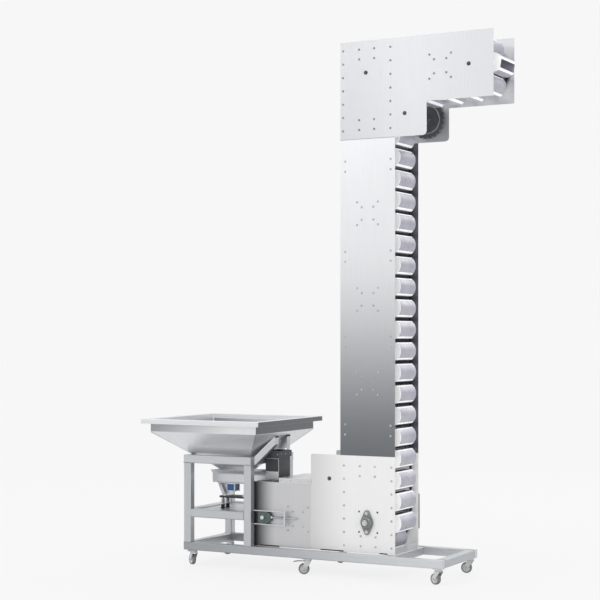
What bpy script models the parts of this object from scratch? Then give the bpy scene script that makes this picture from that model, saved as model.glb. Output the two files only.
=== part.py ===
"""A chain bucket elevator of the Z form on a wheeled tube base, with its feed hopper and vibrating feeder.

Metres, +Z up. The pieces are laid out in the machine's own frame: x runs along the machine from the left
edge of the column, y runs back from the outer face of the front plates, z runs up from the floor. At the
end everything moves sideways, so that the origin is the middle of the object's box, on the floor.
"""
import math

import bmesh
import bpy
from mathutils import Matrix, Vector

for old in list(bpy.data.objects):
    bpy.data.objects.remove(old, do_unlink=True)

# Clearances: between seated pieces, round a turning pin, and round a shaft that passes through a plate
seat_gap = 0.0003
pin_clearance = 0.0012
shaft_clearance = 0.004

# Casing: sheet plates in pairs, front and rear, with the bucket chain between them
sheet = 0.003
casing_depth = 0.410
column_width = 0.430
head_top = 3.817
head_arm_height = 0.461
head_arm_length = 0.736
head_bend_width = 0.241
head_foot = 3.119
head_corner = 0.030
boot_top = 0.866
boot_overhang = 0.238
boot_corner = 0.012
arm_past_stand = 0.089
arm_top = 0.646
spreader = 0.050
spreader_heights = (1.381, 1.978, 2.589)
cover_left = -0.500
cover_height = 0.034
cover_overhang = 0.004

# Base frame and stand, of square tube
tube = 0.060
tube_corner = 0.005
base_left = -1.276
base_length = 2.096
base_depth = 0.660
base_front = -0.080
rail_underside = 0.113
stand_width = 0.579
stand_top = 0.826
shelf_height = 0.422
shelf_plate = 0.004
shelf_step = 0.012
weld = 0.002
boot_crossbar_inset = 0.004

# Hopper
hopper_side = 1.008
hopper_right = -0.509
rim_height = 0.035
rim_overhang = 0.050
skirt_height = 0.059
slope_height = 0.293
hopper_sheet = 0.003
outlet_length = 0.253
outlet_width = 0.130
outlet_over_trough = 0.008
outlet_centre = -0.9735
strut = 0.050
strut_wall = 0.004
strut_lean = 1.3
strut_below_skirt = 0.0265
strut_head_offset = 0.090

# Chain loop: six pairs of toothed wheels, and buckets hung between two chains
chain_pitch = 0.0381
links_per_bucket = 4
takeup_teeth = 23
boot_bend_teeth = 23
head_teeth = 26
end_teeth = 24
head_bend_teeth = 22
drive_teeth = 27
chain_height = 0.020
chain_plate = 0.006
chain_y = 0.029
tooth_width = 0.006
tooth_tip = 0.005
tooth_root = 0.0065
axle = 0.030
axle_sides = 12
hub = 0.060
hub_width = 0.022
bucket_pin = 0.010
head_wheel_x = 0.202
head_wheel_z = 3.589
end_wheel_x = 0.985
head_bend_x = 0.504
head_bend_z = 3.281
drive_wheel_x = 0.214
drive_wheel_z = 0.393
boot_bend_x = -0.088
boot_bend_z = 0.693
takeup_past_stand = 0.079
takeup_z = 0.387
shaft_past_front = 0.052
shaft_past_rear = 0.040
bucket_phase = 0.08

# Bucket
bucket_from_plate = 0.070
bucket_half_width = 0.068
bucket_half_height = 0.072
bucket_rise = 0.062
bucket_drop = 0.066
bucket_wall = 0.003
bucket_tip = 105
bucket_tip_reach = 62

# Feeder: trough on a tapered bracket, with its magnet, on rods and rubber feet
trough_overlap = 0.018
trough_tail = 0.050
trough_depth = 0.069
trough_width = 0.150
trough_lip = 0.026
trough_sheet = 0.003
bracket_past_trough = 0.032
bracket_length = 0.288
bracket_height = 0.1007
bracket_taper = 0.046
bracket_sheet = 0.006
bracket_leg = 0.030
bracket_floor = 0.010
bracket_width = 0.110
magnet_inset = 0.070
magnet_length = 0.072
magnet_width = 0.080
magnet_height = 0.062
foot_height = 0.030
foot_radius = 0.018
foot_inset = 0.020
foot_margin = 0.002
stem_reach = 0.0514
stem_radius = 0.009
base_thickness = 0.016
base_overhang = 0.030

# Inlet chute
chute_length = 0.112
chute_width = 0.174
chute_from_stand = 0.0164
chute_band = 0.048
chute_lip = 0.009
chute_notch_clearance = 0.010

# Take-up units
takeup_frame_left_clearance = 0.005
takeup_frame_length = 0.264
takeup_frame_depth = 0.046
takeup_frame_height = 0.104
takeup_rail = 0.006
takeup_end = 0.010
takeup_travel = 0.045
takeup_slot_height = 0.048
slide_clearance = 0.001
block_length = 0.108
block_behind_axle = 0.42 * block_length
block_to_shoulder = 0.30 * block_length
block_to_tip = 0.58 * block_length
block_depth = 0.034
block_corner = 0.020
block_nose = 0.014
screw = 0.014
screw_length = 0.214

# Drive: flange bearing in front, worm gearbox and motor behind
flange_half_height = 0.088
flange_half_width = 0.049
flange_thickness = 0.013
housing_radius = 0.043
housing_depth = 0.036
gearbox_side = 0.130
gearbox_depth = 0.120
gearbox_drop = 0.010
motor_offset_x = 0.071
motor_offset_y = 0.055
motor_radius = 0.068
motor_length = 0.275
motor_foot = 0.280

# Casters: how far the swivels stand in from the base's left and right ends, how far the middle ones stand
# from its middle, and how far each is turned
caster_front_insets = (0.072, 0.036)
caster_rear_insets = (0.036, 0.042)
caster_front_shift = -0.008
caster_rear_shift = -0.021
caster_turns = (145, 205, 160, 180, 168, 188)
caster_wheel = 0.080
caster_tread = 0.028
tread_flat = 0.7 * caster_tread
tyre_side_reach = 0.76
disc_thickness = 0.6 * caster_tread
disc_reach = 0.62
caster_trail = 0.028
caster_axle = 0.010
caster_hub = 0.024
caster_plate_length = 0.070
caster_plate_width = 0.056
caster_plate = 0.004
caster_housing = 0.052
caster_housing_height = 0.012
kingpin = 0.012
kingpin_head = 0.018
kingpin_head_height = 0.003
fork_sheet = 0.003
fork_gap = 0.005
fork_half = 0.022
crown_height = 0.004
pedal_reach = 0.105
pedal_bend = 0.7 * pedal_reach
pedal_width = 0.026
pedal_sheet = 0.003

# Derived
bucket_length = casing_depth - 2 * bucket_from_plate
casing_middle = casing_depth / 2
inner_front = sheet + seat_gap
inner_rear = casing_depth - sheet - seat_gap
tooth_y = chain_y - chain_plate / 2 - seat_gap - tooth_width / 2
rail_top = rail_underside + tube
casing_foot = rail_top + seat_gap
base_right = base_left + base_length
base_rear = base_front + base_depth
base_centre = base_left + base_length / 2
caster_spots = {
    "front": (
        base_left + caster_front_insets[0],
        base_centre + caster_front_shift,
        base_right - caster_front_insets[1],
    ),
    "rear": (
        base_left + caster_rear_insets[0],
        base_centre + caster_rear_shift,
        base_right - caster_rear_insets[1],
    ),
}
cross_front = base_front + tube + seat_gap
cross_rear = base_rear - tube - seat_gap
stand_right = base_left + stand_width
arm_left = stand_right - arm_past_stand
arm_right = -boot_overhang - seat_gap
takeup_x = stand_right + takeup_past_stand
arm_bottom_z = head_top - head_arm_height
head_right = column_width + head_arm_length
hopper_left = hopper_right - hopper_side
hopper_front = casing_middle - hopper_side / 2
outlet_left = outlet_centre - outlet_length / 2
outlet_right = outlet_centre + outlet_length / 2
outlet_front = casing_middle - outlet_width / 2
shelf_top = shelf_height - shelf_step
feet_z = shelf_top + seat_gap
feeder_base_top = feet_z + foot_height + stem_reach + base_thickness
bracket_foot = feeder_base_top + seat_gap
bracket_top = bracket_foot + bracket_height
trough_foot = bracket_top + seat_gap
trough_top = trough_foot + trough_depth
outlet_height = trough_top + trough_lip + outlet_over_trough
skirt_foot = outlet_height + slope_height
rim_foot = skirt_foot + skirt_height
hopper_top = rim_foot + rim_height


def hopper_wall(at_outlet, at_skirt, z):
    """Where a sloping wall of the hopper stands at height z, between the outlet and the skirt's foot."""
    return at_outlet + (at_skirt - at_outlet) * (z - outlet_height) / (skirt_foot - outlet_height)


chute_left = stand_right + chute_from_stand
chute_wall = chute_left - chute_lip - 2 * shaft_clearance
chute_share = (chute_wall - outlet_right) / (hopper_right - rim_overhang - outlet_right)
chute_top = outlet_height + chute_share * slope_height
chute_right = chute_left + chute_length
chute_front = casing_middle - chute_width / 2
chute_rear = casing_middle + chute_width / 2
chute_foot = arm_top + seat_gap

part = bpy.data.collections.new("bucket_elevator")
cutters = bpy.data.collections.new("cutters")
bpy.context.scene.collection.children.link(part)
bpy.context.scene.collection.children.link(cutters)
cutters.hide_render = True


def make_material(name, colour, roughness, metallic):
    material = bpy.data.materials.new(name)
    material.use_nodes = True
    shader = material.node_tree.nodes["Principled BSDF"]
    shader.inputs["Base Color"].default_value = (*colour, 1)
    shader.inputs["Roughness"].default_value = roughness
    shader.inputs["Metallic"].default_value = metallic
    return material


steel_sheet = make_material("stainless_sheet", (0.80, 0.81, 0.83), 0.35, 0.9)
steel_tube = make_material("stainless_tube", (0.62, 0.64, 0.66), 0.38, 0.9)
bucket_plastic = make_material("bucket_plastic", (0.72, 0.72, 0.80), 0.45, 0.0)
dark_steel = make_material("dark_steel", (0.08, 0.09, 0.09), 0.5, 0.6)
cast_green = make_material("cast_grey_green", (0.22, 0.30, 0.28), 0.55, 0.2)
coil_blue = make_material("coil_blue", (0.02, 0.16, 0.45), 0.35, 0.0)
zinc = make_material("zinc", (0.55, 0.56, 0.57), 0.4, 0.8)
tyre_grey = make_material("tyre_grey", (0.30, 0.30, 0.31), 0.7, 0.0)


def add(name, mesh, material, place=(0, 0, 0)):
    obj = bpy.data.objects.new(name, mesh)
    obj.location = place
    mesh.materials.clear()
    mesh.materials.append(material)
    part.objects.link(obj)
    return obj


def box_mesh(size):
    mesh = bpy.data.meshes.new("box")
    shape = bmesh.new()
    bmesh.ops.create_cube(shape, size=1, matrix=Matrix.Diagonal((*size, 1)))
    shape.to_mesh(mesh)
    shape.free()
    return mesh


def block(name, low, high, material):
    """A box from its lowest to its highest corner, with its origin in its middle."""
    low, high = Vector(low), Vector(high)
    return add(name, box_mesh(high - low), material, (low + high) / 2)


def outline_mesh(outline, thickness):
    """A flat outline in x and z, given thickness along y either side of y = 0, as a mesh."""
    curve = bpy.data.curves.new("outline", "CURVE")
    curve.dimensions = "2D"
    curve.fill_mode = "BOTH"
    curve.extrude = thickness / 2
    spline = curve.splines.new("POLY")
    spline.points.add(len(outline) - 1)
    for point, (x, z) in zip(spline.points, outline):
        point.co = (x, z, 0, 1)
    spline.use_cyclic_u = True
    holder = bpy.data.objects.new("outline", curve)
    part.objects.link(holder)
    bpy.context.view_layer.update()
    ready = holder.evaluated_get(bpy.context.evaluated_depsgraph_get())
    mesh = bpy.data.meshes.new_from_object(ready)
    bpy.data.objects.remove(holder)
    shape = bmesh.new()
    shape.from_mesh(mesh)
    bmesh.ops.remove_doubles(shape, verts=shape.verts, dist=1e-6)
    bmesh.ops.rotate(shape, verts=shape.verts, matrix=Matrix.Rotation(math.pi / 2, 3, "X"))
    shape.to_mesh(mesh)
    shape.free()
    return mesh


def plate(name, outline, front, back, material):
    """A flat plate in x and z, from y = front to y = back."""
    return add(name, outline_mesh(outline, back - front), material, (0, (front + back) / 2, 0))


def gathered(name, pieces):
    """One mesh from several: pieces is a list of (mesh, matrix)."""
    shape = bmesh.new()
    for mesh, matrix in pieces:
        copy = mesh.copy()
        copy.transform(matrix)
        shape.from_mesh(copy)
        bpy.data.meshes.remove(copy)
    mesh = bpy.data.meshes.new(name)
    shape.to_mesh(mesh)
    shape.free()
    return mesh


def rod_mesh(radius, length, sides=12, axis="Y"):
    mesh = bpy.data.meshes.new("rod")
    shape = bmesh.new()
    turn = {"X": Matrix.Rotation(math.pi / 2, 4, "Y"), "Y": Matrix.Rotation(-math.pi / 2, 4, "X")}
    bmesh.ops.create_cone(
        shape, cap_ends=True, segments=sides, radius1=radius, radius2=radius, depth=length,
        matrix=turn.get(axis, Matrix.Identity(4)) @ Matrix.Rotation(math.pi / sides, 4, "Z"),
    )
    shape.to_mesh(mesh)
    shape.free()
    return mesh


def at(x, y, z):
    return Matrix.Translation((x, y, z))


def combine(obj, mesh, operation, place=(0, 0, 0)):
    """Unites or cuts obj with mesh, which stands at place in the machine's frame."""
    tool = bpy.data.objects.new(obj.name + "_tool", mesh)
    tool.location = place
    tool.hide_render = True
    tool.display_type = "WIRE"
    cutters.objects.link(tool)
    change = obj.modifiers.new(operation.lower(), "BOOLEAN")
    change.operation = operation
    change.object = tool
    change.solver = "EXACT"
    return tool


def rounded(corners, steps=4):
    """An outline from corners (x, z, radius), each replaced by an arc that touches both of its edges."""
    points = []
    for i, (x, z, radius) in enumerate(corners):
        here = Vector((x, z))
        before = (Vector(corners[i - 1][:2]) - here).normalized()
        after = (Vector(corners[(i + 1) % len(corners)][:2]) - here).normalized()
        if not radius:
            points.append((x, z))
            continue
        half = before.angle(after) / 2
        centre = here + (before + after).normalized() * radius / math.sin(half)
        start = here + before * radius / math.tan(half) - centre
        end = here + after * radius / math.tan(half) - centre
        turn = start.angle_signed(end)
        for n in range(steps + 1):
            spun = start.copy()
            spun.rotate(Matrix.Rotation(-turn * n / steps, 2))
            points.append(tuple(centre + spun))
    return points


# The loop of the chain

wheels = [
    ("takeup", takeup_x, takeup_z, 1, takeup_teeth),
    ("boot_bend", boot_bend_x, boot_bend_z, -1, boot_bend_teeth),
    ("head", head_wheel_x, head_wheel_z, 1, head_teeth),
    ("end", end_wheel_x, head_wheel_z, 1, end_teeth),
    ("head_bend", head_bend_x, head_bend_z, -1, head_bend_teeth),
    ("drive", drive_wheel_x, drive_wheel_z, 1, drive_teeth),
]


def pitch_radius(teeth):
    return chain_pitch / (2 * math.sin(math.pi / teeth))


def loop_stretches():
    """The closed pitch line as straight runs and arcs, clockwise seen from the front.

    A straight run touches two wheels. A wheel inside the loop lies to the right of the run (side 1), one
    outside it to the left (side -1), so the run's direction is that of the centres, less the angle whose
    sine is the difference of the two radii, each times its side, over the distance between centres.
    """
    runs = []
    for (_, x1, z1, side1, teeth1), (_, x2, z2, side2, teeth2) in zip(wheels, wheels[1:] + wheels[:1]):
        between = Vector((x2 - x1, z2 - z1))
        out1 = side1 * pitch_radius(teeth1)
        out2 = side2 * pitch_radius(teeth2)
        heading = math.atan2(between.y, between.x) - math.asin((out1 - out2) / between.length)
        left = Vector((-math.sin(heading), math.cos(heading)))
        runs.append((Vector((x1, z1)) + left * out1, Vector((x2, z2)) + left * out2, heading))
    stretches = []
    for i, (start, end, heading) in enumerate(runs):
        _, x, z, side, teeth = wheels[(i + 1) % len(wheels)]
        out = side * pitch_radius(teeth)
        next_heading = runs[(i + 1) % len(runs)][2]
        turn = (heading - next_heading) * side % (2 * math.pi)
        stretches.append(("run", start, end, heading, (end - start).length))
        stretches.append(("arc", Vector((x, z)), out, heading, turn * abs(out)))
    return stretches


stretches = loop_stretches()
loop_length = sum(stretch[4] for stretch in stretches)
bucket_count = round(loop_length / (chain_pitch * links_per_bucket))
bucket_pitch = loop_length / bucket_count


def on_loop(distance):
    """The point at this distance along the pitch line, and the heading there."""
    distance %= loop_length
    for kind, first, second, heading, length in stretches:
        if distance > length:
            distance -= length
            continue
        if kind == "run":
            return first + (second - first) * distance / length, heading
        now = heading - distance / second
        return first + Vector((-math.sin(now), math.cos(now))) * second, now
    return stretches[0][1], stretches[0][3]


def corners_between(start, end):
    """The distances from start to end where the pitch line needs a point: the ends, and steps round arcs."""
    marks = [start]
    passed = 0.0
    arc_step = math.radians(24)
    for lap in range(2):
        for kind, _, out, _, length in stretches:
            if kind == "arc":
                steps = max(1, round(length / abs(out) / arc_step))
                marks += [passed + length * n / steps for n in range(steps + 1)]
            passed += length
    near = 0.004
    marks = [mark for mark in marks if start + near < mark < end - near]
    return [start] + marks + [end]


def strip_outline(start, end, height):
    upper = []
    lower = []
    for distance in corners_between(start, end):
        point, heading = on_loop(distance)
        left = Vector((-math.sin(heading), math.cos(heading))) * height / 2
        upper.append(tuple(point + left))
        lower.append(tuple(point - left))
    return upper + lower[::-1]


def bucket_outline(inset, open_top):
    """The bucket's section: an ellipse round the pivot at 0, 0, cut off level at the rim and at the keel."""
    half = bucket_half_width - inset
    height = bucket_half_height - inset
    rim = math.asin(bucket_rise / height)
    keel = math.asin((bucket_drop - inset) / height)
    top = bucket_rise + bucket_wall if open_top else bucket_rise
    steps = 3 if open_top else 4
    side = [(half * math.cos(rim), top)]
    for n in range(1, steps + 1):
        angle = rim - (rim + keel) * n / steps
        side.append((half * math.cos(angle), height * math.sin(angle)))
    return side + [(-x, z) for x, z in side[::-1]]


def make_bucket():
    """The bucket: a bar of its section, hollowed from above."""
    shell = outline_mesh(bucket_outline(0, False), bucket_length)
    room = outline_mesh(bucket_outline(bucket_wall, True), bucket_length - 2 * bucket_wall)
    holder = add("bucket", shell, bucket_plastic)
    tool = combine(holder, room, "DIFFERENCE")
    bpy.context.view_layer.update()
    mesh = bpy.data.meshes.new_from_object(holder.evaluated_get(bpy.context.evaluated_depsgraph_get()))
    bpy.data.objects.remove(holder)
    bpy.data.objects.remove(tool)
    return mesh


def tip_of(distance):
    """How far the bucket there is turned from upright, clockwise: it tips over at the end wheel only."""
    point, heading = on_loop(distance)
    away = point - Vector((end_wheel_x, head_wheel_z))
    if away.length > pitch_radius(end_teeth) + bucket_wall or away.x < 0:
        return 0.0
    around = math.degrees(math.atan2(away.y, away.x))
    return math.radians(max(0.0, bucket_tip * (1 - abs(around) / bucket_tip_reach)))


bucket_mesh = make_bucket()


def bucket_run(name, first, last):
    """The buckets first to last - 1 with their length of chain: plates and buckets, united by the pins."""
    pieces = []
    pins = []
    start = (first + bucket_phase - 0.5) * bucket_pitch + seat_gap / 2
    end = (last + bucket_phase - 0.5) * bucket_pitch - seat_gap / 2
    strip = outline_mesh(strip_outline(start, end, chain_height), chain_plate)
    for y in (chain_y, casing_depth - chain_y):
        pieces.append((strip, at(0, y, 0)))
    pin_end = (casing_depth - bucket_length) / 2 + bucket_wall / 2
    pin = rod_mesh(bucket_pin / 2, pin_end - chain_y, 4)
    pin_y = (pin_end + chain_y) / 2
    for number in range(first, last):
        distance = (number + bucket_phase) * bucket_pitch
        point, _ = on_loop(distance)
        turn = Matrix.Rotation(tip_of(distance), 4, "Y")
        pieces.append((bucket_mesh, at(point.x, casing_middle, point.y) @ turn))
        for y in (pin_y, casing_depth - pin_y):
            pins.append((pin, at(point.x, y, point.y)))
    run = add(name, gathered(name, pieces), bucket_plastic)
    combine(run, gathered(name + "_pins", pins), "UNION")
    return run


def wheel_outline(turn, teeth):
    """A chain wheel: teeth with flanks that slope from root to tip."""
    points = []
    step = 2 * math.pi / teeth
    for n in range(teeth):
        for share, reach in ((0, -tooth_root), (0.5, tooth_tip)):
            angle = turn - (n + share) * step
            radius = pitch_radius(teeth) + reach
            points.append((radius * math.cos(angle), radius * math.sin(angle)))
    return points


def first_pin_angle(centre, teeth):
    """The direction from a wheel's centre to a bucket pin that lies on it."""
    for number in range(bucket_count):
        point, _ = on_loop((number + bucket_phase) * bucket_pitch)
        away = point - centre
        if abs(away.length - pitch_radius(teeth)) < seat_gap:
            return math.atan2(away.y, away.x)
    return 0.0


def wheel_pair(name, x, z, teeth, front, back):
    """A shaft from y = front to y = back with a toothed wheel near each of its ends."""
    turn = first_pin_angle(Vector((x, z)), teeth)
    disc = outline_mesh(wheel_outline(turn, teeth), tooth_width)
    boss = rod_mesh(hub / 2, hub_width, 8)
    boss_y = tooth_y + hub_width / 2 - tooth_width / 4
    pair = add(name, disc, dark_steel, (x, tooth_y, z))
    other = disc.copy()
    shaft = rod_mesh(axle / 2, back - front, axle_sides)
    bosses = gathered(name + "_bosses", [(boss, at(x, boss_y, z)), (boss, at(x, casing_depth - boss_y, z))])
    combine(pair, bosses, "UNION")
    combine(pair, gathered(name + "_shaft", [(shaft, at(x, (front + back) / 2, z))]), "UNION")
    combine(pair, other, "UNION", (x, casing_depth - tooth_y, z))
    return pair


# Casing plates

head_outline = rounded([
    (0, head_foot + seat_gap, 0),
    (column_width + head_bend_width, head_foot + seat_gap, head_corner),
    (column_width + head_bend_width, arm_bottom_z, 0),
    (head_right, arm_bottom_z, 0),
    (head_right, head_top, 0),
    (0, head_top, 0),
])
column_foot = boot_top + seat_gap
column_outline = [(0, column_foot), (column_width, column_foot), (column_width, head_foot), (0, head_foot)]
boot_outline = rounded([
    (-boot_overhang, casing_foot, 0),
    (column_width, casing_foot, 0),
    (column_width, boot_top, 0),
    (-boot_overhang, boot_top, boot_corner),
])
arm_outline = [(arm_left, casing_foot), (arm_right, casing_foot), (arm_right, arm_top), (arm_left, arm_top)]
casing_plates = {}
for side, front, back in (("front", 0, sheet), ("rear", casing_depth - sheet, casing_depth)):
    plate(f"head_{side}_plate", head_outline, front, back, steel_sheet)
    casing_plates[side] = plate(f"column_{side}_plate", column_outline, front, back, steel_sheet)
    boot_plate = plate(f"boot_{side}_plate", boot_outline, front, back, steel_sheet)
    arm_plate = plate(f"arm_{side}_plate", arm_outline, front, back, steel_sheet)
    bore = rod_mesh(axle / 2 + shaft_clearance, 4 * sheet, 16)
    combine(boot_plate, bore, "DIFFERENCE", (drive_wheel_x, (front + back) / 2, drive_wheel_z))
    slot = box_mesh((2 * takeup_travel + axle, 4 * sheet, takeup_slot_height))
    combine(arm_plate, slot, "DIFFERENCE", (takeup_x, (front + back) / 2, takeup_z))

# Spreaders between the two strands of chain, welded to the rear plate, hold the plates apart
spreader_end = casing_depth - sheet / 2
spreader_mesh = box_mesh((spreader, spreader_end - inner_front, spreader))
spreaders = gathered("spreaders", [
    (spreader_mesh, at(column_width / 2, (inner_front + spreader_end) / 2, z)) for z in spreader_heights
])
combine(casing_plates["rear"], spreaders, "UNION")

# Wheels on their axles, and the runs of buckets
for name, x, z, _, teeth in wheels:
    if name in ("drive", "takeup"):
        wheel_pair(f"{name}_wheels", x, z, teeth, -shaft_past_front, casing_depth + shaft_past_rear)
    else:
        wheel_pair(f"{name}_wheels", x, z, teeth, inner_front, inner_rear)

run_names = ["rising_lower", "rising_upper", "head", "falling_upper", "falling_lower", "boot"]
run_ends = [14, 24, 37, 47, 57, 67]
first = 0
for name, share in zip(run_names, run_ends):
    last = round(share * bucket_count / run_ends[-1])
    bucket_run(f"bucket_run_{name}", first, last)
    first = last

# Base frame and stand


def tube_mesh(low, high):
    """A length of square tube with its long edges rounded off, closed at its ends, as a mesh in place."""
    low, high = Vector(low), Vector(high)
    size = high - low
    along = max(range(3), key=lambda axis: size[axis])
    mesh = box_mesh(size)
    shape = bmesh.new()
    shape.from_mesh(mesh)
    long_edges = [
        edge for edge in shape.edges
        if abs((edge.verts[0].co - edge.verts[1].co)[along]) > size[along] / 2
    ]
    bmesh.ops.bevel(shape, geom=long_edges, offset=tube_corner, segments=1, affect="EDGES")
    bmesh.ops.translate(shape, verts=shape.verts, vec=(low + high) / 2)
    shape.to_mesh(mesh)
    shape.free()
    return mesh


def bar(name, low, high):
    """A tube as a piece of its own, with its origin in its middle."""
    place = (Vector(low) + Vector(high)) / 2
    mesh = tube_mesh(low, high)
    mesh.transform(Matrix.Translation(-place))
    return add(name, mesh, steel_tube, place)


base_rails = {
    side: bar(f"base_{side}_rail", (base_left, y, rail_underside), (base_right, y + tube, rail_top))
    for side, y in (("front", base_front), ("rear", base_rear - tube))
}
for name, x in (
    ("base_left_rail", base_left),
    ("base_stand_crossbar", stand_right - tube),
    ("base_boot_crossbar", column_width - boot_crossbar_inset - tube),
    ("base_right_rail", base_right - tube),
):
    bar(name, (x, cross_front, rail_underside), (x + tube, cross_rear, rail_top))

post_foot = rail_top + seat_gap
post_head = stand_top - tube - seat_gap
for side, y in (("front", base_front), ("rear", base_rear - tube)):
    for place, x in (("left", base_left), ("right", stand_right - tube)):
        bar(f"stand_post_{side}_{place}", (x, y, post_foot), (x + tube, y + tube, post_head))

# The top frame: two long rails with two short ones welded between them, close round the hopper
rail_foot = stand_top - tube
top_left = hopper_wall(outlet_left, hopper_left + rim_overhang, stand_top) - 2 * seat_gap
top_right = hopper_wall(outlet_right, hopper_right - rim_overhang, stand_top) + 2 * seat_gap
short_front = base_front + tube - weld
short_rear = base_rear - tube + weld
top_frame = add("stand_top_frame", tube_mesh(
    (base_left, base_front, rail_foot), (stand_right, base_front + tube, stand_top),
), steel_tube)
combine(top_frame, gathered("short_rails", [
    (tube_mesh((base_left, short_front, rail_foot), (top_left, short_rear, stand_top)), at(0, 0, 0)),
    (tube_mesh((top_right, short_front, rail_foot), (stand_right, short_rear, stand_top)), at(0, 0, 0)),
]), "UNION")
combine(top_frame, tube_mesh(
    (base_left, base_rear - tube, rail_foot), (stand_right, base_rear, stand_top),
), "UNION")

# The shelf: a sheet welded to three tubes between the posts, which ends just past the feeder's feet
bracket_left = outlet_left - trough_tail + bracket_past_trough
bracket_right = bracket_left + bracket_length
feeder_base_right = bracket_right - bracket_taper + base_overhang
shelf_right = feeder_base_right - foot_inset + foot_radius + foot_margin
between_left = base_left + tube + seat_gap
between_right = stand_right - tube - seat_gap
shelf_left = base_left + tube - weld
shelf = add("stand_shelf", box_mesh((
    shelf_right - shelf_left, base_depth - 2 * tube + 2 * weld, shelf_plate,
)), steel_sheet, (
    (shelf_left + shelf_right) / 2, base_front + base_depth / 2, shelf_top - shelf_plate / 2,
))
combine(shelf, gathered("shelf_tubes", [
    (tube_mesh(low, high), at(0, 0, 0)) for low, high in (
        ((base_left, cross_front, shelf_height - tube), (base_left + tube, cross_rear, shelf_height)),
        ((between_left, base_front, shelf_height - tube), (between_right, base_front + tube, shelf_height)),
        ((between_left, base_rear - tube, shelf_height - tube), (between_right, base_rear, shelf_height)),
    )
]), "UNION")

# Hopper: an open pyramid on a straight skirt, with a folded rim


def frustum(lower, upper):
    """A closed solid between two level rectangles (x0, x1, y0, y1, z)."""
    mesh = bpy.data.meshes.new("frustum")
    shape = bmesh.new()
    bmesh.ops.create_cube(shape, size=2)
    for vert in shape.verts:
        x0, x1, y0, y1, z = upper if vert.co.z > 0 else lower
        vert.co = (x1 if vert.co.x > 0 else x0, y1 if vert.co.y > 0 else y0, z)
    shape.to_mesh(mesh)
    shape.free()
    return mesh


def hopper_level(inset, z):
    return (
        hopper_left + inset, hopper_right - inset,
        hopper_front + inset, hopper_front + hopper_side - inset, z,
    )


def outlet_level(inset, z):
    return (
        outlet_left + inset, outlet_right - inset,
        outlet_front + inset, outlet_front + outlet_width - inset, z,
    )


overrun = 0.001
wall_slope = hopper_sheet * 1.6
inside = rim_overhang + hopper_sheet
hopper = add("hopper_bin", frustum(
    outlet_level(0, outlet_height), hopper_level(rim_overhang, skirt_foot),
), steel_sheet)
combine(hopper, frustum(
    hopper_level(rim_overhang, skirt_foot - overrun / 2),
    hopper_level(rim_overhang, rim_foot + hopper_sheet),
), "UNION")
combine(hopper, frustum(hopper_level(0, rim_foot), hopper_level(0, hopper_top)), "UNION")
combine(hopper, frustum(
    outlet_level(hopper_sheet, outlet_height - overrun), hopper_level(inside, skirt_foot + wall_slope),
), "DIFFERENCE")
combine(hopper, frustum(
    hopper_level(inside, skirt_foot + wall_slope - overrun / 2), hopper_level(inside, hopper_top + overrun),
), "DIFFERENCE")


def slanted_tube(name, foot, head):
    """An open square tube from foot to head, its ends cut upright: a skewed box with a square bore."""
    foot, head = Vector(foot), Vector(head)

    def skewed(reach, past):
        along = (head - foot) * past
        mesh = bpy.data.meshes.new("tube")
        shape = bmesh.new()
        bmesh.ops.create_cube(shape, size=2)
        for vert in shape.verts:
            end = head + along if vert.co.x > 0 else foot - along
            vert.co = end + Vector((0, vert.co.y * reach, vert.co.z * reach * strut_lean)) - foot
        bmesh.ops.recalc_face_normals(shape, faces=shape.faces)
        shape.to_mesh(mesh)
        shape.free()
        return mesh

    made = add(name, skewed(strut / 2, 0), steel_tube, foot)
    combine(made, skewed(strut / 2 - strut_wall, overrun), "DIFFERENCE", foot)
    return made


strut_foot_z = stand_top - tube / 2
strut_top_z = skirt_foot - strut_below_skirt
strut_rise = strut_top_z - strut / 2 * strut_lean - strut_foot_z
strut_head_x = hopper_wall(outlet_right, hopper_right - rim_overhang, strut_top_z) + 2 * seat_gap
strut_spots = (("front", base_front + tube + strut / 2, -1), ("rear", base_rear - tube - strut / 2, 1))
for side, y, sign in strut_spots:
    slanted_tube(
        f"hopper_strut_{side}",
        (stand_right + seat_gap, y, strut_foot_z),
        (strut_head_x, casing_middle + sign * strut_head_offset, strut_foot_z + strut_rise),
    )

# Vibrating feeder

trough_right = chute_left + trough_overlap
trough_left = outlet_left - trough_tail
trough_front = casing_middle - trough_width / 2
trough_rear = casing_middle + trough_width / 2


def trough_level(inset, end, z):
    """A level of the trough, inset from its sides and reaching end past its open right end."""
    return (trough_left + inset, trough_right + end, trough_front + inset, trough_rear - inset, z)


lip_inset = trough_sheet - trough_lip
trough_body = frustum(trough_level(0, 0, trough_foot), trough_level(0, 0, trough_top))
trough = add("feeder_trough", trough_body, steel_sheet)
combine(trough, frustum(
    trough_level(0, 0, trough_top - overrun), trough_level(-trough_lip, 0, trough_top + trough_lip),
), "UNION")
combine(trough, frustum(
    trough_level(trough_sheet, trough_sheet, trough_foot + trough_sheet),
    trough_level(trough_sheet, trough_sheet, trough_top + 2 * overrun),
), "DIFFERENCE")
combine(trough, frustum(
    trough_level(trough_sheet, trough_sheet, trough_top + overrun),
    trough_level(lip_inset, trough_sheet, trough_top + trough_lip + overrun),
), "DIFFERENCE")

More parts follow.
